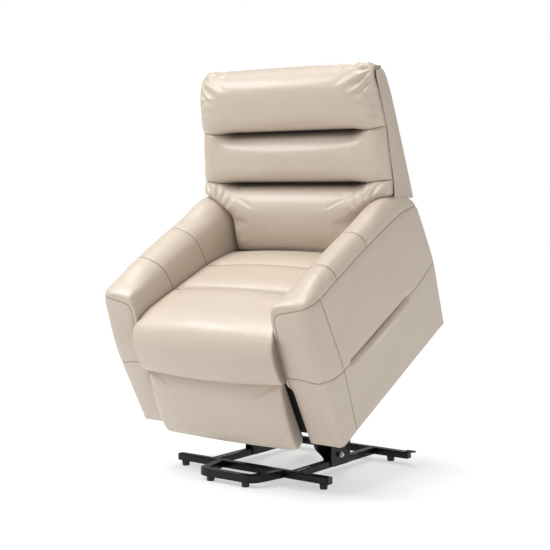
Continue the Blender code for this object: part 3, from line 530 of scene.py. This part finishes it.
def build_seat():
    path = spline(((0.004, 0.2355), (-0.016, 0.2385), (-0.024, 0.255), (-0.026, 0.300), (-0.018, 0.350),
                   (0.008, 0.386), (0.050, 0.402), (0.110, 0.403), (0.221, 0.394), (0.300, 0.388),
                   (0.395, 0.379), (0.470, 0.366), (0.552, 0.346)), 112)
    run = run_of(path)
    top = path[:, 1] > 0.34
    seam_runs = [np.interp(y, path[top, 0], run[top]) for y in SEAT_SEAMS]
    extra = SEAT_NOSE_HALF_WIDTH - SEAT_HALF_WIDTH
    half = SEAT_NOSE_HALF_WIDTH - extra * step(0.000, 0.035, path[:, 0])
    u = spread(SEAT_COLUMNS)[:, None]
    edge = (1.0 - np.abs(u)) * half[None, :]
    rear_seam, front_seam = (run - place for place in seam_runs)
    crown = 0.005 + 0.015 * (1.0 - u ** 2)
    ends = rounded_edge(run, 0.030) * rounded_edge(run[-1] - run, 0.04)
    height = crown * rounded_edge(edge, 0.016) * ends[None, :]
    fade = step(0.0, 0.05, edge)
    height = height - fade * (0.0060 * bump(rear_seam, 0.012) + 0.0190 * bump(front_seam, 0.013))
    swell = 0.0075 * bump(front_seam + 0.052, 0.040) + 0.004 * bump(front_seam - 0.05, 0.04)
    height = height + fade * swell
    front, rear = pad_grids(path, half, height, SEAT_COLUMNS, 0.035)
    seat = closed_pad("seat_cover", front, rear)
    held = rim_of(height.shape)
    for line in (rear_seam, front_seam):
        held[:height.size] |= np.broadcast_to(np.abs(line) < 0.004, height.shape).reshape(-1)
    inflate(seat, held, 2.5, 0.006)
    lines = nearest(rear_seam, front_seam)
    draw_seams(seat, both_grids(np.broadcast_to(lines, height.shape)))
    # Painted shade: darker in the seat's grooves, along its sides beside the arms and at its front bottom
    # edge by the footrest.
    groove_shade = 0.60 * bump(front_seam, 0.006) + 0.15 * bump(rear_seam, 0.004)
    paint_crease_shade(seat, groove_shade * fade + 0.75 * bump(edge, 0.0035) + 0.8 * bump(run, 0.004))
    subdivide(seat)
    upholster(seat, "carriage", "seat_cushion", fill=0.8)


def build_footrest():
    path = spline(((-0.010, 0.001), (-0.032, 0.002), (-0.042, 0.025), (-0.040, 0.110), (-0.029, 0.180),
                   (-0.020, 0.215), (-0.006, FOOTREST_HIGH)), 46)
    run = run_of(path)
    u = spread(FOOTREST_COLUMNS)[:, None] * FOOTREST_HALF_WIDTH
    edge = FOOTREST_HALF_WIDTH - np.abs(u)
    ends = rounded_edge(run, 0.03) * rounded_edge(run[-1] - run, 0.03)
    height = (0.006 + 0.005 * (1.0 - (u / FOOTREST_HALF_WIDTH) ** 2)) * rounded_edge(edge, 0.015)
    height = height * ends[None, :]
    corner = np.hypot(np.clip(0.05 - edge, 0.0, None), np.clip(0.05 - run[None, :], 0.0, None))
    height = height - 0.008 * step(0.030, 0.07, corner)
    front, rear = pad_grids(path, FOOTREST_HALF_WIDTH, height, FOOTREST_COLUMNS, 0.020)
    rear[:, :, 1] = 0.0045
    rear[:, :, 2] = np.clip(rear[:, :, 2], 0.003, FOOTREST_HIGH)
    rest = closed_pad("footrest_cover", front, rear)
    inflate(rest, rim_of(height.shape), 2.0, 0.004)
    draw_seams(rest)
    # Painted shade: darker along the footrest's side edges and its top edge under the seat.
    paint_crease_shade(rest, 0.6 * bump(edge, 0.003) + 0.8 * bump(run[-1] - run, 0.005)[None, :])
    subdivide(rest)
    upholster(rest, "footrest", "footrest_pad", fill=0.8)


# ---------------------------------------------------------------- backrest
def crease_fade(x):
    """Creases between the pillows are deep in the middle and flat at the sides."""
    return 1.0 - step(0.235, 0.335, np.abs(x))


def lift_ends(points):
    """The creases between the pillows turn up where they reach the sides."""
    x, z = points[:, 0], points[:, 2]
    near_welt = bump(z - BACK_WELT_LOW[1], 0.05) + bump(z - BACK_WELT_HIGH[1], 0.06)
    points[:, 2] += 0.011 * step(0.27, 0.385, np.abs(x)) * near_welt
    return points


def build_pillow(name, node, points, rows, half_width, height, open_ends, pulls, puckers):
    """One back pillow.

    open_ends says how round its lower and upper edges are, pulls how deep the creases
    at them are drawn in, and puckers gives the folds of its skin.
    """
    path = spline(points, rows)
    run = run_of(path)
    width = along(half_width, path[:, 1])
    u = spread(PILLOW_COLUMNS, 0.55)[:, None]
    x = u * width[None, :]
    edge = (1.0 - np.abs(u)) * width[None, :]
    low, high = open_ends
    lower = rounded_edge(run, low)[None, :]
    upper = rounded_edge(run[-1] - run, high)[None, :]
    middle = crease_fade(x)
    at_sides = PILLOW_EDGE + (1 - PILLOW_EDGE) * lower * upper
    profile = lower * upper * middle + (1.0 - middle) * at_sides
    rise = along(height, run / run[-1])[None, :]
    lift = rise * profile * rounded_edge(edge, 0.055)
    creases = pulls[0] * bump(run, 0.012) + pulls[1] * bump(run[-1] - run, 0.030)
    lift = lift + puckers(x, path, run, edge) - creases[None, :] * middle
    front, rear = pad_grids(path, width, lift, PILLOW_COLUMNS, 0.010 + 0.020 * middle)
    rear[:, :, 0] *= 0.975
    # Behind a crease the two pillows overlap, so that nothing shows between them.
    rear[:, 0, 2] -= 0.007 * (pulls[0] > 0.0)
    rear[:, -1, 2] += 0.007 * (pulls[1] > 0.0)
    pillow = closed_pad(name, front, rear)
    inflate(pillow, rim_of(lift.shape), 3.0, PILLOW_REACH)
    # Painted shade: darker in the creases between the pillows, fading out towards the sides.
    depth = (pulls[0] > 0.0) * bump(run, 0.009) + (pulls[1] > 0.0) * bump(run[-1] - run, 0.017)
    paint_crease_shade(pillow, depth[None, :] * middle)
    set_points(pillow, lift_ends(points_of(pillow)))
    seam = np.minimum(np.broadcast_to(run, lift.shape), run[-1] - run[None, :])
    draw_seams(pillow, both_grids(seam), both_grids(edge))
    subdivide(pillow)
    upholster(pillow, "backrest", node, fill=0.7)


def folds(x, height, centre, count, reach, depth, phase=0.0):
    """Folds that run out from a gathered point (x, z) and die away."""
    across, up = np.abs(x) - centre[0], height - centre[1]
    distance = np.hypot(across, up)
    angle = np.arctan2(up, across)
    ripple = np.cos(angle * count + phase + 7.0 * distance / reach)
    return depth * ripple * np.exp(-(distance / reach) ** 2) * step(0.0, 0.012, distance)


def middle_folds(x, path, run, edge):
    z = path[None, :, 1] + 0.0 * x
    side = folds(x, z, (0.372, 0.64), 9.0, 0.05, 0.0012)
    return side * step(0.0, 0.02, edge)


def head_folds(x, path, run, edge):
    z = path[None, :, 1] + 0.0 * x
    corner = folds(x, run[None, :] + 0.0 * x, (0.354, 0.192), 11.0, 0.070, 0.0062)
    corner = corner * step(0.004, 0.035, edge) * step(0.0, 0.05, run[-1] - run)[None, :]
    side = 0.0024 * np.sin(run[None, :] * 190.0 + 40.0 * np.abs(x)) * bump(edge - 0.026, 0.016)
    side = side * step(0.735, 0.77, z)
    return (corner + side) * step(0.0, 0.012, edge)


def lumbar_folds(x, path, run, edge):
    z = path[None, :, 1] + 0.0 * x
    pull = folds(x, z, (0.330, 0.476), 12.0, 0.075, 0.0050, 0.8)
    return pull * step(0.0, 0.03, edge)


def build_back_pillows():
    build_pillow("lumbar_pillow", "lumbar_cushion",
                 ((0.576, 0.338), (0.590, 0.390), (0.617, 0.455), (0.645, 0.515), (0.667, 0.557)), 60,
                 ((0.300, 0.264), (0.420, 0.264), (0.455, 0.272), (0.478, 0.302), (0.499, 0.338),
                  (0.518, 0.385), (0.530, 0.389), (0.560, 0.389)),
                 ((0.0, 0.030), (0.3, 0.040), (0.7, 0.048), (1.0, 0.044)), (0.05, 0.085), (0.0, 0.022),
                 lumbar_folds)
    build_pillow("middle_pillow", "middle_cushion",
                 (BACK_WELT_LOW, (0.682, 0.598), (0.697, 0.638), (0.713, 0.679), BACK_WELT_HIGH), 48,
                 ((0.550, 0.389), (0.720, 0.377)),
                 ((0.0, 0.042), (0.5, 0.042), (1.0, 0.040)), (0.036, 0.085), (0.022, 0.022), middle_folds)
    build_pillow("head_pillow", "head_cushion",
                 (BACK_WELT_HIGH, (0.742, 0.780), (0.754, 0.840), (0.766, 0.882), (0.790, 0.902),
                  (0.822, 0.894)), 72,
                 ((0.700, 0.379), (0.760, 0.375), (0.840, 0.367), (0.880, 0.358), (0.910, 0.350)),
                 ((0.0, 0.044), (0.3, 0.046), (0.75, 0.036), (1.0, 0.010)), (0.042, 0.030), (0.022, 0.0),
                 head_folds)


def build_back_shell():
    """Side boxing, rear panel and top of the backrest, as one closed skin.

    Each ring runs from the front wall, hidden behind the pillows, back along the side
    and round the rear corner to the middle; the other half mirrors it.
    """
    rows, side_count, rear_count = 64, 34, 46
    v = np.linspace(0.0, 1.0, rows)
    front = spline(((0.643, 0.512), (0.667, 0.557), (0.697, 0.638), (0.713, 0.679), (0.728, 0.719),
                    (0.743, 0.784), (0.755, 0.842), (0.768, 0.882), (0.788, 0.9005)), rows)
    rear = spline(((0.759, 0.445), (0.788, 0.590), (0.810, 0.710), (0.826, 0.810), (0.834, 0.868),
                   (0.829, 0.8945)), rows)
    half = np.interp(v, (0, 0.42, 0.8, 0.93, 1.0), (0.390, 0.3775, 0.3675, 0.360, 0.352))
    corner = 0.020
    turn = np.linspace(0.0, math.pi / 2.0, 9)
    rings = []
    for k in range(rows):
        depth = math.dist(front[k], rear[k])
        side_t = np.linspace(0.000, depth - corner, side_count)
        arc_x = half[k] - corner + corner * np.cos(turn)
        arc_t = depth - corner + corner * np.sin(turn)
        back_x = np.linspace(half[k] - corner, 0.0, rear_count + 1)[1:]
        across = np.concatenate([np.full(side_count, half[k]), arc_x[1:], back_x])
        inward = np.concatenate([side_t, arc_t[1:], np.full(rear_count, depth)])
        bulge = 0.004 * np.sin(math.pi * v[k]) * np.sin(math.pi * np.clip(side_t / depth, 0, 1))
        across[:side_count] += bulge
        inward[-rear_count:] += 0.012 * math.sin(math.pi * v[k]) ** 0.7 * (1 - (back_x / half[k]) ** 2)
        wall = min(0.034, 0.6 * depth)
        across = np.concatenate([half[k] - np.array((0.012, 0.0015)), across])
        inward = np.concatenate([[wall, 0.001], inward])
        across = np.concatenate([across, -across[-2::-1]])
        inward = np.concatenate([inward, inward[-2::-1]])
        direction = (rear[k] - front[k]) / depth
        place = front[k] + inward[:, None] * direction
        rings.append(np.column_stack([across, place]))
    rings = np.array(rings)
    shell = skin("back_shell", rings, lined_end=True)
    points = points_of(shell)
    rear_line = np.interp(points[:, 2], rear[:, 1], rear[:, 0])
    corner_seam = only_where(points[:, 1] > rear_line - 0.05, np.abs(points[:, 0]) - 0.352)
    draw_seams(shell, corner_seam)
    subdivide(shell)
    upholster(shell, "backrest", "back_cover", fill=0.3)


# ---------------------------------------------------------------- arms
def arm_section(y, count):
    """The arm's outline (x, z) at a depth y, from the outer bottom corner upwards."""
    top = float(along(ARM_TOP_SEAM, y))
    rise = 0.044 + 0.014 * float(step(0.46, 0.63, y))
    crown = 0.013 + (rise - 0.004) * float(step(-0.020, 0.150, y)) * (1.0 - float(step(0.700, 0.768, y)))
    outer, inner = ARM_OUTER_X, ARM_INNER_X
    low_inner = 0.2880
    points = ((0.350, 0.000), (outer - 0.004, 0.000), (outer, 0.004), (outer + 0.001, 0.090),
              (outer + 0.002, 0.200), (outer + 0.002, 0.330), (outer, 0.430), (outer - 0.001, top - 0.010),
              (outer - 0.002, top), (outer - 0.004, top + 0.34 * crown), (outer - 0.012, top + 0.66 * crown),
              (outer - 0.027, top + 0.92 * crown), (0.362, top + crown), (0.332, top + 0.87 * crown),
              (0.304, top + 0.56 * crown), (0.284, top + 0.12 * crown), (inner + 0.001, top - 0.030),
              (inner, 0.400), (inner, 0.320), (inner, 0.230), (inner + 0.003, 0.214), (0.285, 0.203),
              (low_inner, 0.190), (low_inner, 0.100), (low_inner, 0.004), (0.293, 0.000))
    return spline(points, count, closed=True)


def arm_front(z):
    """Depth of the arm's front face at a height."""
    return 0.035 * np.clip((z - 0.25) / 0.226, 0.0, 1.4) ** 1.5


def arm_rear(z):
    """Depth of the arm's rear end at a height."""
    return np.interp(z, (0.0, 0.226, 0.443, 0.475, 0.52), (0.707, 0.741, 0.730, 0.722, 0.700))


def arm_ring(depth, insets, count, shrink=0.0, crown=0.0):
    """A ring of the arm at a depth behind its front face, moved in from the outline.

    insets are for the outer face, the inner face, the bottom and the top; shrink draws
    the ring in towards the middle of the end face, and crown moves it forward.
    """
    section = arm_section(float(np.clip(depth, 0.0, ARM_LENGTH)), count)
    x, z = section[:, 0], section[:, 1]
    outer, inner, bottom, top = insets
    x = x - outer * np.clip((x - ARM_MIDDLE_X) / (ARM_OUTER_X - ARM_MIDDLE_X), 0.0, 1.0)
    x = x + inner * np.clip((ARM_MIDDLE_X - x) / (ARM_MIDDLE_X - 0.288), 0.0, 1.0)
    z = z + bottom * np.clip(1.0 - z / 0.05, 0.0, 1.0) - top * step(0.40, 0.50, z)
    x = x + (ARM_MIDDLE_X - x) * shrink
    z = z + (np.clip(z, 0.05, 0.40) - z) * shrink
    y = arm_front(z) + depth / ARM_LENGTH * (arm_rear(z) - arm_front(z)) - crown
    return np.column_stack([x, y, z])


def arm_rings(count):
    """Rings from the front face, round its edge, along the arm and round the rear end."""
    rings = []
    front, rear = np.array((0.020, 0.005, 0.005, 0.010)), np.array((0.012, 0.012, 0.006, 0.012))
    for shrink in np.linspace(0.94, 0.0, 9)[:-1]:
        rings.append(arm_ring(0.0, front, count, shrink, 0.0025 * (1.0 - (1.0 - shrink) ** 4)))
    for angle in np.linspace(0.0, math.pi / 2.0, 11)[:-1]:
        depth = ARM_NOSE * (1.0 - math.cos(angle))
        rings.append(arm_ring(depth, front * (1.0 - math.sin(angle)), count))
    for depth in np.linspace(ARM_NOSE, ARM_LENGTH - ARM_TAIL, 134):
        rings.append(arm_ring(depth, 0.0 * front, count))
    for angle in np.linspace(0.0, math.pi / 2.0, 6)[1:]:
        depth = ARM_LENGTH - ARM_TAIL + ARM_TAIL * math.sin(angle)
        rings.append(arm_ring(depth, rear * (1.0 - math.cos(angle)), count))
    for shrink in np.linspace(0.0, 0.94, 6)[1:]:
        rings.append(arm_ring(ARM_LENGTH, rear, count, shrink, -0.003 * shrink))
    return np.array(rings)


def arm_seams(x, y, z):
    """Signed distances from the seams of the arm cover: panel edges, cross seams, low seam."""
    face = y < arm_front(z) + ARM_NOSE
    front_top = 0.455 + 0.20 * np.clip(x - 0.30, 0.0, 0.12)
    blend = step(0.025, 0.075, y)
    top = blend * along(ARM_TOP_SEAM, y) + (1.0 - blend) * front_top
    over, past = z - top + PANEL_CORNER, 0.2885 - x + PANEL_CORNER
    corner = np.hypot(np.maximum(over, 0.0), np.maximum(past, 0.0)) - PANEL_CORNER
    corner = corner + np.minimum(np.maximum(over, past), 0.0)
    main = np.where(x > 0.388, z - top, only_where(face, corner))
    side_y = np.interp(z, (0.0, 0.21, 0.463), (0.093, 0.120, 0.115))
    below = (x > 0.388) & (z < top)
    roll = nearest(*(y - place for place in ROLL_SEAMS))
    cross = np.where(below, only_where(x > 0.400, y - side_y), roll)
    front_low = 0.249 - 0.012 * step(0.33, 0.41, x)
    blend = step(0.004, 0.040, y)
    low = blend * along(SIDE_SEAM, y) + (1.0 - blend) * front_low
    low_line = only_where((x > 0.392) | (face & (x > 0.288)), z - low)
    return main, cross, low_line


def build_arm(side, sign):
    """One arm cover, drawn for the left side and mirrored for the right one."""
    arm = skin(f"arm_cover_{side}", arm_rings(150))
    x, y, z = points_of(arm).T
    main, cross, low = arm_seams(x, y, z)
    groove = 0.0026 * bump(main, 0.009) + 0.0014 * bump(cross, 0.006) + 0.0014 * bump(low, 0.006)
    side_face = (x > 0.40) * step(POCKET[0] - 0.006, POCKET[0] + 0.012, y)
    side_face = side_face * (1.0 - step(POCKET[1] - 0.012, POCKET[1] + 0.006, y))
    middle = np.sin(math.pi * np.clip((y - POCKET[0]) / (POCKET[1] - POCKET[0]), 0.0, 1.0))
    pocket = 0.013 * bump(low, 0.0055) - 0.0045 * middle * bump(low + 0.014, 0.009)
    shift = normals_of(arm) * (groove + pocket * side_face)[:, None]
    points = points_of(arm) - shift
    points[:, 0] *= sign
    set_points(arm, points)
    # At the pocket the seam's dark line and band are spread wide, as painted shade in the slit.
    draw_seams(arm, main, cross, low * (1.0 - 0.68 * side_face * np.sqrt(middle)))
    if sign < 0:
        arm.data.flip_normals()
    subdivide(arm)
    upholster(arm, "carriage", f"arm_lower_panel_{side}", f"arm_upper_panel_{side}",
              f"arm_front_panel_{side}", f"arm_top_pad_{side}", fill=0.5)


def build_rear_flap():
    """The leather flap that joins the back cover to the rear skirt, over the recline joint."""
    path = spline(((0.690, 0.255), (0.694, 0.285), (0.716, 0.340), (0.742, 0.405), (0.752, 0.462)), 60)
    u = spread(80)[:, None] * FLAP_HALF_WIDTH
    sag = 0.004 * np.sin(np.linspace(0.0, math.pi, 60))
    slack = sag[None, :] * (1.0 - (u / FLAP_HALF_WIDTH) ** 2)
    front, rear = pad_grids(path, FLAP_HALF_WIDTH, -slack - 0.0015, 80, slack + 0.0035)
    flap = closed_pad("rear_flap", front, rear)
    draw_seams(flap)
    subdivide(flap)
    cover_plainly(flap, LEATHER)
    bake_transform(flap)


def build_curtains():
    """Black cloth that hangs beside the mechanism, under each seat rail; it also fills the gap beside the
    footrest with dark, as painted shade of the chair's inside.
    """
    columns, rows = 80, 22
    plan = spline(((0.238, 0.0245), (0.258, 0.0245), (0.2715, 0.0250), (0.2720, 0.0360), (0.266, 0.070),
                   (0.264, 0.120), (0.264, 0.640)), columns)
    for side, sign in SIDES:
        y = plan[:, 1:] + np.zeros(rows)
        edge = 0.2115 + 0.022 * (1.0 - step(0.025, 0.027, y))
        drop = np.linspace(1.0, 0.0, rows)[None, :] + np.zeros((columns, 1))
        z = edge - drop * (edge - 0.022)
        x = plan[:, :1] + 0.0030 * drop * np.sin(y * 62.0) + 0.0015 * drop * np.sin(y * 151.0 + 1.0)
        sheet = np.stack([sign * x, y, z], axis=2)
        curtain = closed_pad(f"mechanism_curtain_{side}", sheet, sheet + np.array((sign * 0.0008, 0.0, 0.0)))
        cover_plainly(curtain, LINING)
        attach(curtain, "carriage")


def build_rear_skirt():
    """The padded panel that closes the seat box at the rear, with a seam near its edge."""
    columns, rows = 60, 30
    x = np.linspace(-SKIRT_HALF_WIDTH, SKIRT_HALF_WIDTH, columns)[:, None] + np.zeros(rows)
    z = np.linspace(SKIRT_LOW, SKIRT_HIGH, rows)[None, :] + np.zeros((columns, 1))
    edge = np.minimum(SKIRT_HALF_WIDTH - np.abs(x), np.minimum(z - SKIRT_LOW, SKIRT_HIGH - z))
    outer = np.stack([x, 0.680 + 0.006 * rounded_edge(edge, 0.02), z], axis=2)
    inner = np.stack([x, np.full_like(x, 0.666), z], axis=2)
    skirt = closed_pad("rear_skirt_cover", outer, inner)
    draw_seams(skirt, both_grids(edge - 0.012))
    subdivide(skirt)
    upholster(skirt, "carriage", "rear_skirt", fill=0.2)


# ---------------------------------------------------------------- hard parts
def powder_coat():
    n = Nodes("black_powder_coat_finish")
    orange_peel = n.noise(900.0, 2.0)
    wear = n.noise(40.0, 4.0, 0.6)
    tone = n.mix(n.ramp(wear, 0.45, 0.75, 0.0, 1.0), (0.0020, 0.0020, 0.0022), (0.0050, 0.0050, 0.0055))
    rough = n.ramp(wear, 0.3, 0.7, 0.20, 0.32)
    normal = n.relief(orange_peel, 0.0001, 0.15)
    return n.finish(tone, rough, normal, Coat_Weight=0.06, Coat_Roughness=0.18, Specular_IOR_Level=0.25)


def plain(name, low, high, roughness, metallic=0.0, grain=400.0):
    """An even finish with faint clouds between two colours and a fine grain."""
    n = Nodes(name)
    cloud = n.noise(60.0, 4.0, 0.6)
    tone = n.mix(n.ramp(cloud, 0.3, 0.7, 0.0, 1.0), low, high)
    normal = n.relief(n.noise(grain, 3.0), 0.0001, 0.4)
    return n.finish(tone, n.ramp(cloud, 0.3, 0.7, roughness - 0.05, roughness + 0.06), normal,
                    Metallic=metallic)


def plywood():
    n = Nodes("plywood_grain")
    stretch = n.add("ShaderNodeVectorMath", operation="MULTIPLY")
    n.link(n.place, stretch.inputs[0])
    stretch.inputs[1].default_value = (1.0, 0.12, 1.0)
    rings = n.noise(70.0, 5.0, 0.6, 1.5, stretch.outputs[0])
    tone = n.mix(n.ramp(rings, 0.35, 0.65, 0.0, 1.0), (0.52, 0.34, 0.17), (0.66, 0.47, 0.27))
    return n.finish(tone, 0.62, n.relief(rings, 0.0004, 0.3))


def build_bracket_bolts(zinc):
    """A hexagon bolt head with its washer on each outer bracket of the base."""
    for side, sign in SIDES:
        low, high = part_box(f"outer_bracket_{side}")
        face = high[0] if sign > 0 else low[0]
        shape = bmesh.new()
        for sides, radius, start, thick in ((32, 0.0095, 0.0, 0.0016), (6, 0.0068, 0.0016, 0.0058)):
            turn = Matrix.Rotation(sign * math.pi / 2.0, 4, "Y")
            shift = Matrix.Translation((face + sign * (start + thick / 2.0), *BRACKET_BOLT))
            bmesh.ops.create_cone(shape, cap_ends=True, segments=sides, radius1=radius,
                                  radius2=radius * 0.96, depth=thick, matrix=shift @ turn)
        mesh = bpy.data.meshes.new(f"bracket_bolt_{side}")
        shape.to_mesh(mesh)
        shape.free()
        mesh.materials.append(zinc)
        bolt = bpy.data.objects.new(f"bracket_bolt_{side}", mesh)
        bpy.context.scene.collection.objects.link(bolt)
        edge = bolt.modifiers.new("edge", "BEVEL")
        edge.width = 0.0005
        edge.segments = 2
        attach(bolt, "base")


def finish_hard_parts():
    """Gives every CAD solid that stays in view its finish, by the name of its CAD material."""
    steel = powder_coat()
    black_plastic = plain("black_plastic_finish", (0.016, 0.016, 0.017), (0.028, 0.028, 0.030), 0.46)
    rubber = plain("black_rubber_finish", (0.014, 0.014, 0.014), (0.026, 0.025, 0.024), 0.72, grain=900.0)
    rod = plain("aluminium_tube_finish", (0.62, 0.63, 0.64), (0.74, 0.75, 0.76), 0.30, metallic=1.0)
    zinc = plain("zinc_plate_finish", (0.60, 0.61, 0.62), (0.76, 0.77, 0.78), 0.26, metallic=1.0)
    wood = plywood()
    table = {"black_powder_coat": steel, "black_plastic": black_plastic, "black_rubber": rubber,
             "aluminium_tube": rod, "zinc_plate": zinc, "plywood": wood}
    for node in frame["nodes"].values():
        for slot in node.material_slots:
            base = slot.material.name.split(".")[0] if slot.material else ""
            slot.material = table.get(base, steel)
    for slot in frame["nodes"]["footrest_board"].material_slots:
        slot.material = LINING
    build_bracket_bolts(zinc)


# ---------------------------------------------------------------- studio
def add_lamp(name, kind, place, aim, size, power):
    """A lamp aimed at a place; size is an angle for a sun and a width for an area lamp."""
    light = bpy.data.lights.new(name, kind)
    light.energy = power
    if kind == "SUN":
        light.angle = size
    else:
        light.size = size
    lamp = bpy.data.objects.new(name, light)
    lamp.location = place
    toward = Matrix.Translation(aim).translation - lamp.location
    lamp.rotation_euler = toward.to_track_quat("-Z", "Y").to_euler()
    bpy.context.scene.collection.objects.link(lamp)


def build_studio():
    """A white floor and background, with soft light from above and from three sides."""
    mesh = bpy.data.meshes.new("studio_floor")
    corners = ((-1, -1), (1, -1), (1, 1), (-1, 1))
    mesh.from_pydata([(FLOOR_REACH * x, FLOOR_REACH * y, 0.0) for x, y in corners], [], [(0, 1, 2, 3)])
    floor = bpy.data.objects.new("studio_floor", mesh)
    bpy.context.scene.collection.objects.link(floor)
    n = Nodes("studio_floor_paint")
    floor.data.materials.append(n.finish((0.42, 0.42, 0.42), 0.85, Emission_Color=(1.0, 1.0, 1.0, 1.0),
                                         Emission_Strength=0.52))
    world = bpy.data.worlds.new("studio")
    world.use_nodes = True
    tree = world.node_tree
    ambient = tree.nodes["Background"]
    ambient.inputs["Color"].default_value = (1.0, 0.985, 0.97, 1.0)
    ambient.inputs["Strength"].default_value = 0.36
    backdrop = tree.nodes.new("ShaderNodeBackground")
    backdrop.inputs["Color"].default_value = (1.0, 1.0, 1.0, 1.0)
    seen = tree.nodes.new("ShaderNodeLightPath")
    mixed = tree.nodes.new("ShaderNodeMixShader")
    tree.links.new(seen.outputs["Is Camera Ray"], mixed.inputs["Fac"])
    tree.links.new(ambient.outputs[0], mixed.inputs[1])
    tree.links.new(backdrop.outputs[0], mixed.inputs[2])
    tree.links.new(mixed.outputs[0], tree.nodes["World Output"].inputs["Surface"])
    bpy.context.scene.world = world
    add_lamp("sky_panel", "SUN", (-0.6, -0.7, 3.0), (0.0, 0.0, 0.0), math.radians(40.0), 2.9)
    add_lamp("key", "AREA", (-2.2, -2.0, 3.0), (0.0, 0.0, 0.75), 1.0, 58.0)
    add_lamp("fill", "AREA", (3.2, -0.6, 1.3), (0.0, 0.0, 0.7), 2.0, 14.0)
    add_lamp("rim", "AREA", (-0.9, 2.6, 2.8), (0.0, 0.0, 0.8), 1.4, 55.0)


def build_camera():
    camera = bpy.data.objects.new("camera", bpy.data.cameras.new("camera"))
    camera.data.lens = CAMERA_LENS
    camera.data.sensor_width = 36.0
    camera.location = CAMERA_PLACE
    camera.rotation_euler = (math.pi / 2.0 - CAMERA_DOWN, 0.0, CAMERA_TURN)
    bpy.context.scene.collection.objects.link(camera)
    bpy.context.scene.camera = camera


bpy.context.scene.view_settings.view_transform = "Standard"
build_studio()
build_camera()
finish_hard_parts()
build_seat()
build_footrest()
build_back_pillows()
build_back_shell()
for side, sign in SIDES:
    build_arm(side, sign)
build_rear_skirt()
build_rear_flap()
build_curtains()
